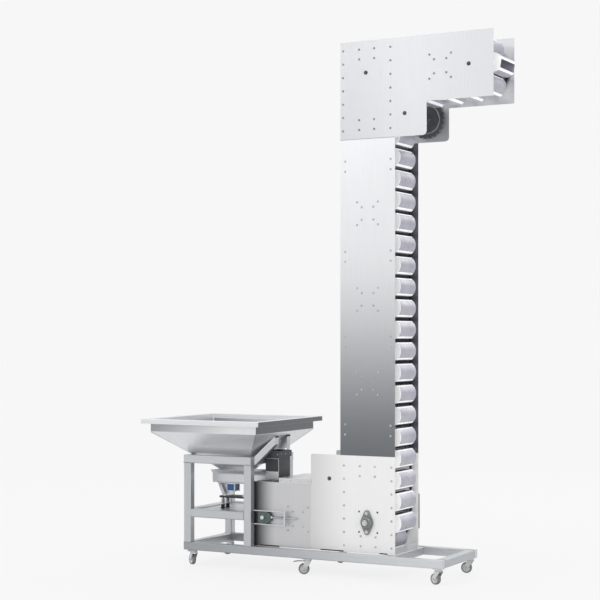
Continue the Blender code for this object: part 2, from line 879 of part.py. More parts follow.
bracket_front = casing_middle - bracket_width / 2
bracket_rear = casing_middle + bracket_width / 2
bracket_outline = [
    (bracket_left, bracket_top),
    (bracket_left + bracket_taper, bracket_foot),
    (bracket_right - bracket_taper, bracket_foot),
    (bracket_right, bracket_top),
]
leg_foot = bracket_taper + bracket_leg
bracket_room = [
    (bracket_left + bracket_leg, bracket_top - bracket_sheet),
    (bracket_left + leg_foot, bracket_foot - bracket_floor),
    (bracket_right - leg_foot, bracket_foot - bracket_floor),
    (bracket_right - bracket_leg, bracket_top - bracket_sheet),
]
bracket = plate("feeder_bracket", bracket_outline, bracket_front, bracket_rear, steel_sheet)
combine(bracket, outline_mesh(bracket_room, 2 * bracket_width), "DIFFERENCE", (0, casing_middle, 0))

magnet_left = bracket_left + magnet_inset
magnet_top = bracket_top - bracket_sheet - seat_gap
block(
    "feeder_magnet",
    (magnet_left, casing_middle - magnet_width / 2, magnet_top - magnet_height),
    (magnet_left + magnet_length, casing_middle + magnet_width / 2, magnet_top),
    coil_blue,
)

feeder_base_left = bracket_left + bracket_taper - base_overhang
feeder_base = block(
    "feeder_base",
    (feeder_base_left, bracket_front, feeder_base_top - base_thickness),
    (feeder_base_right, bracket_rear, feeder_base_top),
    dark_steel,
)
stem_foot = feet_z + foot_height / 2
stem_height = feeder_base_top - base_thickness / 2 - stem_foot
foot_mesh = rod_mesh(foot_radius, foot_height, 8, "Z")
stem_mesh = rod_mesh(stem_radius, stem_height, 6, "Z")
feet = []
stems = []
for x in (feeder_base_left + foot_inset, feeder_base_right - foot_inset):
    for y in (bracket_front + foot_inset, bracket_rear - foot_inset):
        feet.append((foot_mesh, at(x, y, feet_z + foot_height / 2)))
        stems.append((stem_mesh, at(x, y, stem_foot + stem_height / 2)))
combine(feeder_base, gathered("feet", feet), "UNION")
combine(feeder_base, gathered("stems", stems), "UNION")

# Cover over the right half of the lower arm, and the inlet chute over its left half

cover = block(
    "arm_cover",
    (cover_left, -cover_overhang, arm_top + seat_gap),
    (arm_right, casing_depth + cover_overhang, arm_top + cover_height),
    steel_sheet,
)
cover_room = arm_right - cover_left - 2 * sheet
combine(cover, box_mesh((cover_room, casing_depth - 2 * sheet, cover_height)), "DIFFERENCE", (
    cover_left + sheet + cover_room / 2, casing_middle, arm_top + cover_height / 2 - sheet,
))


def chute_level(out, z):
    return (chute_left - out, chute_right + out, chute_front - out, chute_rear + out, z)


chute = add("inlet_chute", frustum(chute_level(0, chute_foot), chute_level(0, chute_top)), dark_steel)
combine(chute, frustum(
    chute_level(chute_lip, chute_top - chute_band), chute_level(chute_lip, chute_top - overrun / 2),
), "UNION")
combine(chute, frustum(
    (chute_left - chute_lip, chute_right + chute_lip, 0, casing_depth, chute_foot),
    (chute_left - chute_lip, chute_right + chute_lip, 0, casing_depth, chute_foot + sheet),
), "UNION")
combine(chute, frustum(
    chute_level(-sheet, chute_foot - overrun), chute_level(-sheet, chute_top + overrun),
), "DIFFERENCE")
notch = (
    chute_left - chute_lip - sheet, trough_right + chute_notch_clearance,
    trough_front - trough_lip - chute_notch_clearance, trough_rear + trough_lip + chute_notch_clearance,
)
combine(chute, frustum(
    (*notch, trough_foot), (*notch, trough_top + trough_lip + chute_notch_clearance),
), "DIFFERENCE")

# Take-up units: a frame on each arm plate, in which a bearing block slides on a screw

frame_left = stand_right + takeup_frame_left_clearance
frame_right = frame_left + takeup_frame_length
frame_half = takeup_frame_height / 2
frame_inner = frame_half - takeup_rail
takeup_frame_outline = [
    (frame_left, takeup_z + frame_half),
    (frame_left, takeup_z + frame_inner),
    (frame_right - takeup_end, takeup_z + frame_inner),
    (frame_right - takeup_end, takeup_z - frame_inner),
    (frame_left, takeup_z - frame_inner),
    (frame_left, takeup_z - frame_half),
    (frame_right, takeup_z - frame_half),
    (frame_right, takeup_z + frame_half),
]
block_half = frame_inner - slide_clearance
block_tail = takeup_x - block_behind_axle
block_shoulder = takeup_x + block_to_shoulder
block_tip = takeup_x + block_to_tip
takeup_block_outline = rounded([
    (block_tail, takeup_z - block_half, block_corner),
    (block_shoulder, takeup_z - block_half, block_corner),
    (block_tip, takeup_z - block_nose, block_nose / 2),
    (block_tip, takeup_z + block_nose, block_nose / 2),
    (block_shoulder, takeup_z + block_half, block_corner),
    (block_tail, takeup_z + block_half, block_corner),
], 3)
screw_start = block_tip - screw / 2
for side, sign, face in (("front", -1, 0), ("rear", 1, casing_depth)):
    near = face + sign * seat_gap
    frame_faces = sorted((near, near + sign * takeup_frame_depth))
    block_faces = sorted((near, near + sign * block_depth))
    screw_y = near + sign * block_depth / 2
    frame_piece = plate(f"takeup_frame_{side}", takeup_frame_outline, *frame_faces, steel_sheet)
    screw_hole = rod_mesh(screw / 2 + slide_clearance, 4 * takeup_end, 12, "X")
    combine(frame_piece, screw_hole, "DIFFERENCE", (frame_right, screw_y, takeup_z))
    slider = plate(f"takeup_block_{side}", takeup_block_outline, *block_faces, cast_green)
    bore = rod_mesh(axle / 2 + seat_gap, 3 * block_depth, axle_sides)
    combine(slider, bore, "DIFFERENCE", (takeup_x, screw_y, takeup_z))
    shank = rod_mesh(screw / 2, screw_length, 8, "X")
    combine(slider, shank, "UNION", (screw_start + screw_length / 2, screw_y, takeup_z))

# Drive bearing: an oval two-bolt flange with a raised round housing, on the boot's front plate

bearing_sides = 24
flange_points = []
for n in range(bearing_sides):
    angle = 2 * math.pi * n / bearing_sides
    flange_points.append((flange_half_width * math.cos(angle), flange_half_height * math.sin(angle)))
bearing = add("drive_bearing", outline_mesh(flange_points, flange_thickness), dark_steel, (
    drive_wheel_x, -seat_gap - flange_thickness / 2, drive_wheel_z,
))
combine(bearing, rod_mesh(housing_radius, housing_depth, 20), "UNION", (
    drive_wheel_x, -seat_gap - housing_depth / 2, drive_wheel_z,
))
combine(bearing, rod_mesh(axle / 2 + seat_gap, 4 * housing_depth, axle_sides), "DIFFERENCE", (
    drive_wheel_x, -housing_depth, drive_wheel_z,
))

# Gearmotor on the rear plate: a gearbox on the end of the shaft, and its motor upright beside it

gear_near = casing_depth + seat_gap
gear_y = gear_near + gearbox_depth / 2
gearmotor = add("gearmotor", box_mesh((gearbox_side, gearbox_depth, gearbox_side)), dark_steel, (
    drive_wheel_x, gear_y, drive_wheel_z - gearbox_drop,
))
combine(gearmotor, rod_mesh(motor_radius, motor_length, 20, "Z"), "UNION", (
    drive_wheel_x + motor_offset_x, gear_y + motor_offset_y + motor_radius, motor_foot + motor_length / 2,
))
shaft_room = rod_mesh(axle / 2 + seat_gap, 2 * (shaft_past_rear + pin_clearance), axle_sides)
combine(gearmotor, shaft_room, "DIFFERENCE", (drive_wheel_x, casing_depth, drive_wheel_z))

# Casters: a plate and kingpin on the rail, a swivelling fork and a wheel

plate_foot = rail_underside - caster_plate
housing_top = plate_foot - seat_gap
crown_top = housing_top - caster_housing_height + overrun
crown_foot = crown_top - crown_height
pin_foot = crown_foot - pin_clearance - kingpin_head_height
wheel_z = caster_wheel / 2
leg_inner = caster_tread / 2 + fork_gap
leg_middle = leg_inner + fork_sheet / 2
fork_width = 2 * (leg_inner + fork_sheet)


def fork_mesh(with_pedal):
    """A fork in the frame of its swivel: round housing, crown, and two legs that lean back to the axle."""
    hub_half = caster_hub / 2
    crown_middle = crown_top - crown_height / 2
    leg = outline_mesh([
        (-fork_half, crown_middle), (-fork_half, crown_foot - crown_height),
        (caster_trail - hub_half, wheel_z - hub_half), (caster_trail + hub_half, wheel_z - hub_half),
        (caster_trail + hub_half, wheel_z + hub_half), (fork_half, crown_middle),
    ], fork_sheet)
    pedal_root = fork_half - pedal_sheet
    pedal_foot = crown_middle - pedal_sheet / 2
    pedal = outline_mesh([
        (pedal_root, pedal_foot + pedal_sheet), (pedal_root, pedal_foot),
        (pedal_bend, pedal_foot), (pedal_reach, crown_foot - pedal_sheet),
        (pedal_reach, crown_foot), (pedal_bend, pedal_foot + pedal_sheet),
    ], pedal_width)
    holder = add("fork", gathered("fork", [(leg, at(0, -leg_middle, 0)), (leg, at(0, leg_middle, 0))]), zinc)
    tools = [
        combine(holder, box_mesh((2 * fork_half + overrun, fork_width + overrun, crown_height)), "UNION", (
            0, 0, crown_middle,
        )),
        combine(holder, rod_mesh(caster_housing / 2, caster_housing_height, 12, "Z"), "UNION", (
            0, 0, housing_top - caster_housing_height / 2,
        )),
        combine(holder, rod_mesh(caster_axle / 2, fork_width - fork_sheet, 6), "UNION", (
            caster_trail, 0, wheel_z,
        )),
        combine(holder, rod_mesh(kingpin / 2 + pin_clearance, caster_housing, 8, "Z"), "DIFFERENCE", (
            0, 0, housing_top,
        )),
    ]
    if with_pedal:
        tools.append(combine(holder, pedal, "UNION"))
    bpy.context.view_layer.update()
    mesh = bpy.data.meshes.new_from_object(holder.evaluated_get(bpy.context.evaluated_depsgraph_get()))
    for used in [holder] + tools:
        bpy.data.objects.remove(used)
    return mesh


def wheel_mesh():
    """A wheel turned about y: a tyre with sloping shoulders, a thinner disc, and a long hub with a bore."""
    sides = 16
    tread = caster_wheel / 2 / math.cos(math.pi / sides)
    half = caster_tread / 2
    hub_half = leg_inner - pin_clearance / 2
    side_profile = [
        (caster_axle / 2 + pin_clearance, hub_half), (caster_hub / 2, hub_half),
        (tread * disc_reach, disc_thickness / 2), (tread * tyre_side_reach, half), (tread, tread_flat / 2),
    ]
    ring = [(x, 0, z) for x, z in side_profile + [(x, -z) for x, z in side_profile[::-1]]]
    mesh = bpy.data.meshes.new("wheel")
    mesh.from_pydata(ring, [(n, (n + 1) % len(ring)) for n in range(len(ring))], [])
    holder = add("wheel", mesh, tyre_grey)
    turning = holder.modifiers.new("turning", "SCREW")
    turning.steps = turning.render_steps = sides
    turning.use_merge_vertices = True
    turning.merge_threshold = 0.0001
    bpy.context.view_layer.update()
    turned = bpy.data.meshes.new_from_object(holder.evaluated_get(bpy.context.evaluated_depsgraph_get()))
    bpy.data.objects.remove(holder)
    turned.transform(Matrix.Rotation(math.pi / 2, 4, "X") @ Matrix.Rotation(math.pi / sides, 4, "Z"))
    shape = bmesh.new()
    shape.from_mesh(turned)
    bmesh.ops.recalc_face_normals(shape, faces=shape.faces)
    shape.to_mesh(turned)
    shape.free()
    return turned


braked_fork = fork_mesh(True)
plain_fork = fork_mesh(False)
wheel_shape = wheel_mesh()
plate_mesh = box_mesh((caster_plate_length, caster_plate_width, caster_plate + overrun))
pin_height = rail_underside - pin_foot
pin_mesh = rod_mesh(kingpin / 2, pin_height, 8, "Z")
head_mesh = rod_mesh(kingpin_head / 2, kingpin_head_height, 8, "Z")
spots = []
for side, y in (("front", base_front + tube / 2), ("rear", base_rear - tube / 2)):
    x_values = caster_spots[side]
    spots += [(side, place, x, y) for place, x in zip(("left", "middle", "right"), x_values)]
    for label, mesh, z in (
        ("plates", plate_mesh, plate_foot + (caster_plate + overrun) / 2),
        ("kingpins", pin_mesh, pin_foot + pin_height / 2),
        ("heads", head_mesh, pin_foot + kingpin_head_height / 2),
    ):
        combine(base_rails[side], gathered(label, [(mesh, at(x, y, z)) for x in x_values]), "UNION")
for (side, place, x, y), turn in zip(spots, caster_turns):
    shape = plain_fork if place == "right" else braked_fork
    fork = add(f"caster_fork_{side}_{place}", shape.copy(), zinc, (x, y, 0))
    fork.rotation_euler.z = math.radians(turn)
    wheel = add(f"caster_wheel_{side}_{place}", wheel_shape.copy(), tyre_grey, (caster_trail, 0, wheel_z))
    wheel.parent = fork

# The whole machine moves, so that the origin is the middle of its box, on the floor

bpy.context.view_layer.update()
depsgraph = bpy.context.evaluated_depsgraph_get()
corners = []
for obj in part.objects:
    ready = obj.evaluated_get(depsgraph)
    corners += [ready.matrix_world @ Vector(corner) for corner in ready.bound_box]
sides = [[corner[axis] for corner in corners] for axis in (0, 1)]
middle = Vector([(min(values) + max(values)) / 2 for values in sides] + [0])
for collection in (part, cutters):
    for obj in collection.objects:
        if obj.parent is None:
            obj.location -= middle
for obj in part.objects:
    for polygon in obj.data.polygons:
        polygon.use_smooth = True
    obj.data.set_sharp_from_angle(angle=math.radians(40))
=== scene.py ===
import math

import bmesh
import bpy
import numpy as np
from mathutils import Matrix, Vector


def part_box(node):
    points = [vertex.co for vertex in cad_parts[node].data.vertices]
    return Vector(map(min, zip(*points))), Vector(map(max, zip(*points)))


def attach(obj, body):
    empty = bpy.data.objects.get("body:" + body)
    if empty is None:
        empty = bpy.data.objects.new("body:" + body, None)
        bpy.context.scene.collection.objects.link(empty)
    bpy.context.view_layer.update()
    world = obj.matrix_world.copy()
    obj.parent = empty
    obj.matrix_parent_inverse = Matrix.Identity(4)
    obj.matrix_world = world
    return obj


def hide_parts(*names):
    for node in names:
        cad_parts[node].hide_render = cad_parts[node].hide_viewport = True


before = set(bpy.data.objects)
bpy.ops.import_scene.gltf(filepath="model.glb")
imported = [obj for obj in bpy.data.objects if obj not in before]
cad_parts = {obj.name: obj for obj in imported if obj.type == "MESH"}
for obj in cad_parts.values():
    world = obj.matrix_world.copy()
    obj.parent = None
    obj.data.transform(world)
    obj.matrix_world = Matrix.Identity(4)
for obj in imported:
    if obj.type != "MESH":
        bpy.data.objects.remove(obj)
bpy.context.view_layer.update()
scene = bpy.context.scene

# Places below are in the machine's own frame: x from the column's left edge, y from the outer face of the
# front plates, z from the floor. The object's origin stands at originShift in that frame.
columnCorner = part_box("column_front_plate")[0]
originShift = np.array((-columnCorner[0], -columnCorner[1], 0.0))

print("stage: camera and light")

# Camera, at the photograph's own place: level, lifted by a small shift
view = {
    "place": (4.923, -9.813, 1.722), "turn": 28.15, "lens": 91.87, "sensor": 36.0, "shiftY": 0.059,
    "reach": 200,
}
cameraData = bpy.data.cameras.new("camera")
cameraData.lens = view["lens"]
cameraData.sensor_width = view["sensor"]
cameraData.shift_y = view["shiftY"]
cameraData.clip_end = view["reach"]
camera = bpy.data.objects.new("camera", cameraData)
camera.location = np.array(view["place"]) - originShift
camera.rotation_euler = (math.radians(90), 0, math.radians(view["turn"]))
scene.collection.objects.link(camera)
scene.camera = camera
scene.view_settings.view_transform = "Standard"

# Light: a room that is bright above the horizon, dim below it and greyer towards +x, and three soft panels
# (place, aim, size, watts). The camera itself sees an even pale background.
light = {
    "seen": 0.93, "high": 0.92, "low": 0.30, "horizonFrom": -0.10, "horizonTo": 0.06,
    "rightShare": 0.68, "rightFrom": 0.0, "rightTo": 0.85,
    "panels": {
        "key": ((-5.5, -7.0, 6.0), (0, 0, 1.8), (4, 4), 72),
        "fill": ((7.0, -5.0, 3.0), (0, 0, 1.5), (3, 5), 52),
        "back": ((1.0, 7.0, 5.0), (0, 0, 2.0), (5, 3), 40),
    },
}


def areaLight(name, place, aim, size, power):
    data = bpy.data.lights.new(name, "AREA")
    data.shape = "RECTANGLE"
    data.size, data.size_y = size
    data.energy = power
    lamp = bpy.data.objects.new(name, data)
    lamp.location = place
    x, y, z = np.array(aim, float) - np.array(place, float)
    lamp.rotation_euler = (math.atan2(math.hypot(x, y), -z), 0, math.atan2(y, x) - math.pi / 2)
    scene.collection.objects.link(lamp)


# A node tree with short ways to add and join nodes
class Graph:
    def __init__(self, tree):
        self.tree = tree
        tree.nodes.clear()

    def add(self, kind, inputs=None, **settings):
        node = self.tree.nodes.new("ShaderNode" + kind)
        for key, value in settings.items():
            setattr(node, key, value)
        for key, value in (inputs or {}).items():
            self.put(value, node.inputs[key])
        return node

    def put(self, value, socket):
        if isinstance(value, bpy.types.NodeSocket):
            self.tree.links.new(value, socket)
        elif isinstance(value, tuple) and len(value) == 3 and socket.type == "RGBA":
            socket.default_value = (*value, 1)
        else:
            socket.default_value = value

    def math(self, operation, first, second):
        return self.add("Math", {0: first, 1: second}, operation=operation).outputs[0]

    def remap(self, value, low, high, toLow, toHigh, kind="LINEAR"):
        ends = {"Value": value, "From Min": low, "From Max": high, "To Min": toLow, "To Max": toHigh}
        return self.add("MapRange", ends, interpolation_type=kind).outputs[0]

    def blend(self, share, first, second):
        node = self.add("Mix", data_type="RGBA")
        for socket, value in ((0, share), (6, first), (7, second)):
            self.put(value, node.inputs[socket])
        return node.outputs[2]

    def noise(self, vector, scale, detail=3.0):
        return self.add("TexNoise", {"Vector": vector, "Scale": scale, "Detail": detail}).outputs[0]

    def stretched(self, vector, scale):
        return self.add("Mapping", {"Vector": vector, "Scale": scale}).outputs[0]

    def bump(self, height, strength, distance):
        return self.add("Bump", {"Height": height, "Strength": strength, "Distance": distance}).outputs[0]

    def place(self):
        return self.add("TexCoord").outputs["Object"]

    def split(self, vector):
        return self.add("SeparateXYZ", {0: vector}).outputs

    def facing(self):
        return self.split(self.add("NewGeometry").outputs["Normal"])

    def group(self, tree):
        node = self.tree.nodes.new("ShaderNodeGroup")
        node.node_tree = tree
        return node.outputs


world = bpy.data.worlds.new("room")
scene.world = world
world.use_nodes = True
graph = Graph(world.node_tree)
parts = graph.split(graph.add("TexCoord").outputs["Generated"])
level = graph.remap(parts["Z"], light["horizonFrom"], light["horizonTo"], light["low"], light["high"])
right = graph.remap(parts["X"], light["rightFrom"], light["rightTo"], 1.0, light["rightShare"])
room = graph.add("Background", {"Color": graph.math("MULTIPLY", level, right)})
seen = graph.add("Background", {"Color": (light["seen"],) * 3})
cameraRay = graph.add("LightPath").outputs["Is Camera Ray"]
chosen = graph.add("MixShader", {0: cameraRay, 1: room.outputs[0], 2: seen.outputs[0]})
graph.add("OutputWorld", {0: chosen.outputs[0]})
for name, (place, aim, size, power) in light["panels"].items():
    areaLight(name, place, aim, size, power)

print("stage: materials")


# A shader group without inputs: build(graph) returns its output values, in the order of outputs
def valueGroup(name, outputs, build):
    group = bpy.data.node_groups.new(name, "ShaderNodeTree")
    for label in outputs:
        group.interface.new_socket(label, in_out="OUTPUT", socket_type="NodeSocketFloat")
    inner = Graph(group)
    values = build(inner)
    end = group.nodes.new("NodeGroupOutput")
    for socket, value in zip(end.inputs, values):
        inner.put(value, socket)
    return group


# Fine streaks along one axis, broad blotches, and a few smears, all from 0 to 1
brushSize = {
    "along": 3, "across": 420, "blotch": 2.3, "smearStretch": (5, 5, 2), "smear": 3.0, "smearFrom": 0.58,
    "smearTo": 0.72,
}


def brushGroup(axis):
    def build(graph):
        place = graph.place()
        scale = [brushSize["along" if name == axis else "across"] for name in "XYZ"]
        streak = graph.noise(graph.stretched(place, scale), 1.0, 4.0)
        blotch = graph.noise(place, brushSize["blotch"], 4.0)
        smear = graph.noise(graph.stretched(place, brushSize["smearStretch"]), brushSize["smear"], 6.0)
        return streak, blotch, graph.remap(smear, brushSize["smearFrom"], brushSize["smearTo"], 0, 1)

    return valueGroup("brushedAlong" + axis, ("Streak", "Blotch", "Smear"), build)


brushes = {axis: brushGroup(axis) for axis in "XYZ"}

# Where the surface bends sharply: Edge is 1 there and 0 on a flat, and Wear is the same broken up by a grain
edgeSize = {"radius": 0.0025, "from": 0.004, "to": 0.10, "grain": 160.0}


def edgeBuild(graph):
    soft = graph.add("Bevel", {"Radius": edgeSize["radius"]}, samples=4).outputs[0]
    flat = graph.add("NewGeometry").outputs["Normal"]
    same = graph.add("VectorMath", {0: soft, 1: flat}, operation="DOT_PRODUCT").outputs["Value"]
    grain = graph.remap(graph.noise(graph.place(), edgeSize["grain"]), 0.35, 0.65, 0.2, 1)
    edge = graph.remap(graph.math("SUBTRACT", 1.0, same), edgeSize["from"], edgeSize["to"], 0, 1)
    return edge, graph.math("MULTIPLY", edge, grain)


edges = valueGroup("wornEdges", ("Edge", "Wear"), edgeBuild)


def newMaterial(name):
    material = bpy.data.materials.new(name)
    material.use_nodes = True
    graph = Graph(material.node_tree)
    shader = graph.add("BsdfPrincipled")
    graph.add("OutputMaterial", {0: shader.outputs[0]})
    return material, graph, shader.inputs


def shaded(colour, factor):
    return tuple(min(1, channel * factor) for channel in colour)


# Brushed stainless: streaks shift its roughness and colour, smears dull it, edges are brighter
steelLook = {
    "streakDark": 0.86, "streakShare": 0.45, "blotchDark": 0.8, "blotchShare": 0.14,
    "edge": (0.95, 0.95, 0.96), "edgeShare": 0.55, "glossier": 0.05, "duller": 0.09, "smearDull": 0.06,
    "anisotropy": 0.35, "bump": 0.10, "bumpHigh": 0.0006,
}


def steel(name, colour, rough, along, metallic, paintedShade=None):
    material, graph, shader = newMaterial(name)
    brush = graph.group(brushes[along])
    streak = graph.math("MULTIPLY", graph.remap(brush["Streak"], 0.3, 0.7, 0, 1), steelLook["streakShare"])
    body = graph.blend(streak, colour, shaded(colour, steelLook["streakDark"]))
    blotch = graph.math("MULTIPLY", brush["Blotch"], steelLook["blotchShare"])
    body = graph.blend(blotch, body, shaded(colour, steelLook["blotchDark"]))
    # Painted shade and reflection, where the look has a ramp
    if paintedShade:
        body = paintedShade(graph, body)
    edge = graph.math("MULTIPLY", graph.group(edges)["Edge"], steelLook["edgeShare"])
    graph.put(graph.blend(edge, body, steelLook["edge"]), shader["Base Color"])
    low, high = rough - steelLook["glossier"], rough + steelLook["duller"]
    gloss = graph.remap(brush["Streak"], 0.25, 0.75, low, high)
    smear = graph.math("MULTIPLY", brush["Smear"], steelLook["smearDull"])
    graph.put(graph.math("ADD", gloss, smear), shader["Roughness"])
    shader["Metallic"].default_value = metallic
    shader["Anisotropic"].default_value = steelLook["anisotropy"]
    graph.put(graph.bump(brush["Streak"], steelLook["bump"], steelLook["bumpHigh"]), shader["Normal"])
    return material


# Paint, enamel or moulding: cloudy colour, patches of more and less gloss, a fine skin, worn edges; under is
# the painted shade where a surface doesn't face up, glow painted light, an emission though it is no lamp
paintLook = {
    "cloud": 9.0, "dark": 0.82, "bright": 1.12, "underFrom": 0.62, "underTo": 0.12, "underDark": 0.25,
    "patch": 26.0, "glossier": 0.07, "duller": 0.10, "bump": 0.25, "bumpHigh": 0.0004, "lumpHigh": 0.001,
}


def paint(
    name, colour, rough, metallic, worn, wear=0.5, lumps=0.0, lumpScale=220.0, coat=0.0, under=0.0, glow=0.0,
):
    material, graph, shader = newMaterial(name)
    place = graph.place()
    cloud = graph.remap(graph.noise(place, paintLook["cloud"], 5.0), 0.3, 0.7, 0, 1)
    body = graph.blend(cloud, shaded(colour, paintLook["dark"]), shaded(colour, paintLook["bright"]))
    # Painted shade: darker as the surface turns away from up
    if under:
        turnedDown = graph.remap(graph.facing()["Z"], paintLook["underFrom"], paintLook["underTo"], 0, under)
        body = graph.blend(turnedDown, body, shaded(colour, paintLook["underDark"]))
    edge = graph.math("MULTIPLY", graph.group(edges)["Wear"], wear)
    graph.put(graph.blend(edge, body, worn), shader["Base Color"])
    patch = graph.noise(place, paintLook["patch"], 6.0)
    gloss = graph.remap(patch, 0.3, 0.7, rough - paintLook["glossier"], rough + paintLook["duller"])
    graph.put(gloss, shader["Roughness"])
    shader["Metallic"].default_value = metallic
    shader["Coat Weight"].default_value = coat
    # Painted light: this emission makes the surface glow though it is no lamp
    shader["Emission Strength"].default_value = glow
    high = paintLook["bumpHigh"] + lumps * paintLook["lumpHigh"]
    skin = graph.noise(place, lumpScale, 4.0)
    graph.put(graph.bump(skin, paintLook["bump"] + lumps, high), shader["Normal"])
    return material


# Painted shade and reflection: darkens a sheet smoothly along an axis, from all of shade at low to none at
# high, as a studio's reflection fades on it, and paints shade on its inner side with the colour inside
def plateShadeRamp(low, high, shade, axis="X", inside=None):
    def paintedShade(graph, body):
        place = graph.split(graph.place())
        body = graph.blend(graph.remap(place[axis], low, high, 1.0, 0.0, "SMOOTHSTEP"), body, shade)
        if inside:
            outward = graph.math("MULTIPLY", graph.facing()["Y"], place["Y"])
            body = graph.blend(graph.math("LESS_THAN", outward, -0.02), body, inside)
        return body

    return paintedShade


# Painted shade and reflection from the dark end of a studio, on the hopper's sheet: darkens what stands
# upright and faces +x, from a place onwards, and the front skirt (the band between the slope and the rim)
# towards its left
hopperShade = {
    "upright": (0.20, 0.21, 0.22), "from": -0.75, "skirt": (0.30, 0.31, 0.33), "skirtLeft": -1.40,
    "skirtRight": -0.62, "skirtFoot": 1.004, "rimFoot": 1.063, "faces": 0.95,
}


def hopperPaintedShade(graph, body):
    facing, place = graph.facing(), graph.split(graph.place())
    upright = graph.math("GREATER_THAN", facing["X"], hopperShade["faces"])
    upright = graph.math("MULTIPLY", upright, graph.math("GREATER_THAN", place["X"], hopperShade["from"]))
    body = graph.blend(upright, body, hopperShade["upright"])
    skirt = graph.math("LESS_THAN", facing["Y"], -hopperShade["faces"])
    for level, side in ((hopperShade["skirtFoot"], "GREATER_THAN"), (hopperShade["rimFoot"], "LESS_THAN")):
        skirt = graph.math("MULTIPLY", skirt, graph.math(side, place["Z"], level))
    ramp = graph.remap(place["X"], hopperShade["skirtLeft"], hopperShade["skirtRight"], 1.0, 0.0)
    return graph.blend(graph.math("MULTIPLY", skirt, ramp), body, hopperShade["skirt"])


# The looks: steel has a colour, roughness, direction of its brushing and metallic share; paint has a colour,
# roughness, metallic share, worn colour and wear
# Painted shade and reflection: ramps that darken each plate and the rails where a studio's reflection fades,
# and the column's inner side as if in shade
columnShade = plateShadeRamp(0.75, 2.45, (0.17, 0.18, 0.195), "Z", (0.16, 0.16, 0.19))
headShade = plateShadeRamp(0.10, 0.80, (0.64, 0.65, 0.67))
bootShade = plateShadeRamp(-0.22, 0.26, (0.66, 0.66, 0.66))
armShade = plateShadeRamp(-0.56, -0.36, (0.08, 0.083, 0.086))
railShade = plateShadeRamp(-1.2, 1.0, (0.40, 0.415, 0.43))
# The flanks darken with painted shade where they face down; the end walls, lips, ribs and bosses take a paler
# copy of the same moulding that glows, painted light
flank = {"lumpScale": 420.0, "coat": 0.1, "under": 0.52}
paintedLightEnd = {"lumpScale": 420.0, "coat": 0.3, "glow": 0.32}
enamel = {"lumps": 0.2, "lumpScale": 120.0, "coat": 0.2}
casting = {"lumps": 0.3, "lumpScale": 140.0}
looks = {
    # The sheets, rails and tubes are one brushed stainless: their colours and metallic shares differ from
    # look to look as painted light and shade, with the boot's nearly white and barely metallic
    "headPlate": steel("sheetHead", (0.80, 0.81, 0.83), 0.34, "Z", 0.75, headShade),
    "columnPlate": steel("sheetColumn", (0.90, 0.91, 0.93), 0.34, "Z", 0.70, columnShade),
    "bootPlate": steel("sheetBoot", (1.0, 1.0, 1.0), 0.36, "Z", 0.10, bootShade),
    "armPlate": steel("sheetArm", (0.70, 0.70, 0.71), 0.36, "Z", 0.70, armShade),
    "sheet": steel("sheetFeeder", (0.74, 0.75, 0.77), 0.30, "X", 0.9),
    "hopperSheet": steel("sheetHopper", (0.91, 0.92, 0.94), 0.30, "X", 0.85, hopperPaintedShade),
    "railX": steel("railAlongX", (0.78, 0.80, 0.82), 0.36, "X", 0.85, railShade),
    "tubeX": steel("tubeAlongX", (0.66, 0.68, 0.70), 0.36, "X", 0.85),
    "tubeY": steel("tubeAlongY", (0.62, 0.64, 0.66), 0.36, "Y", 0.85),
    "tubeZ": steel("tubeAlongZ", (0.62, 0.64, 0.66), 0.34, "Z", 0.85),
    "machined": steel("machinedSteel", (0.72, 0.73, 0.74), 0.22, "Y", 1.0),
    "zinc": paint("zincPlate", (0.74, 0.75, 0.76), 0.36, 0.85, (0.75, 0.75, 0.76), 0.4),
    "bolt": paint("boltSteel", (0.60, 0.61, 0.63), 0.30, 0.9, (0.85, 0.85, 0.86)),
    # A darker copy of the bolt steel for the head's bolts: painted shade
    "plateBolt": paint("plateBoltSteel", (0.38, 0.39, 0.41), 0.34, 0.8, (0.70, 0.70, 0.72)),
    "darkBolt": paint("blackedSteel", (0.10, 0.105, 0.11), 0.38, 0.7, (0.40, 0.40, 0.42)),
    "chain": paint("oiledChain", (0.030, 0.033, 0.050), 0.34, 0.75, (0.30, 0.31, 0.36), 0.45),
    "wheel": paint("castWheel", (0.150, 0.153, 0.155), 0.42, 0.6, (0.45, 0.45, 0.46)),
    "bucket": paint("bucketFlank", (0.83, 0.82, 1.0), 0.32, 0.0, (0.90, 0.90, 0.95), **flank),
    "bucketPaintedLight": paint("bucketEnd", (0.98, 0.98, 1.0), 0.30, 0.0, (0.98, 0.98, 0.99), **paintedLightEnd),
    "dark": paint("darkPaint", (0.050, 0.054, 0.055), 0.46, 0.0, (0.30, 0.30, 0.30)),
    # Painted shade: the chute's sheet is near black for the shade inside the hood
    "chute": paint("chuteSheet", (0.075, 0.080, 0.085), 0.40, 0.5, (0.5, 0.5, 0.5), 0.6),
    "castGreen": paint("castEnamel", (0.105, 0.150, 0.135), 0.42, 0.1, (0.35, 0.38, 0.36), 0.6, **enamel),
    "castDark": paint("castHousing", (0.260, 0.275, 0.270), 0.48, 0.3, (0.42, 0.43, 0.43), 0.6, **casting),
    "coil": paint("coilMoulding", (0.006, 0.11, 0.42), 0.30, 0.0, (0.15, 0.30, 0.55), coat=0.4),
    "motor": paint("motorEnamel", (0.16, 0.18, 0.19), 0.44, 0.1, (0.45, 0.46, 0.46), lumps=0.15),
    "tyre": paint("greyRubber", (0.24, 0.24, 0.245), 0.72, 0.0, (0.26, 0.26, 0.26), 0.4, lumpScale=500.0),
    "hubGrey": paint("wheelMoulding", (0.70, 0.71, 0.72), 0.45, 0.0, (0.6, 0.6, 0.6)),
    "rubber": paint("blackRubber", (0.022, 0.022, 0.023), 0.65, 0.0, (0.07, 0.07, 0.07), 0.4),
    "pedal": paint("pedalMoulding", (0.10, 0.10, 0.105), 0.5, 0.0, (0.25, 0.25, 0.25)),
}

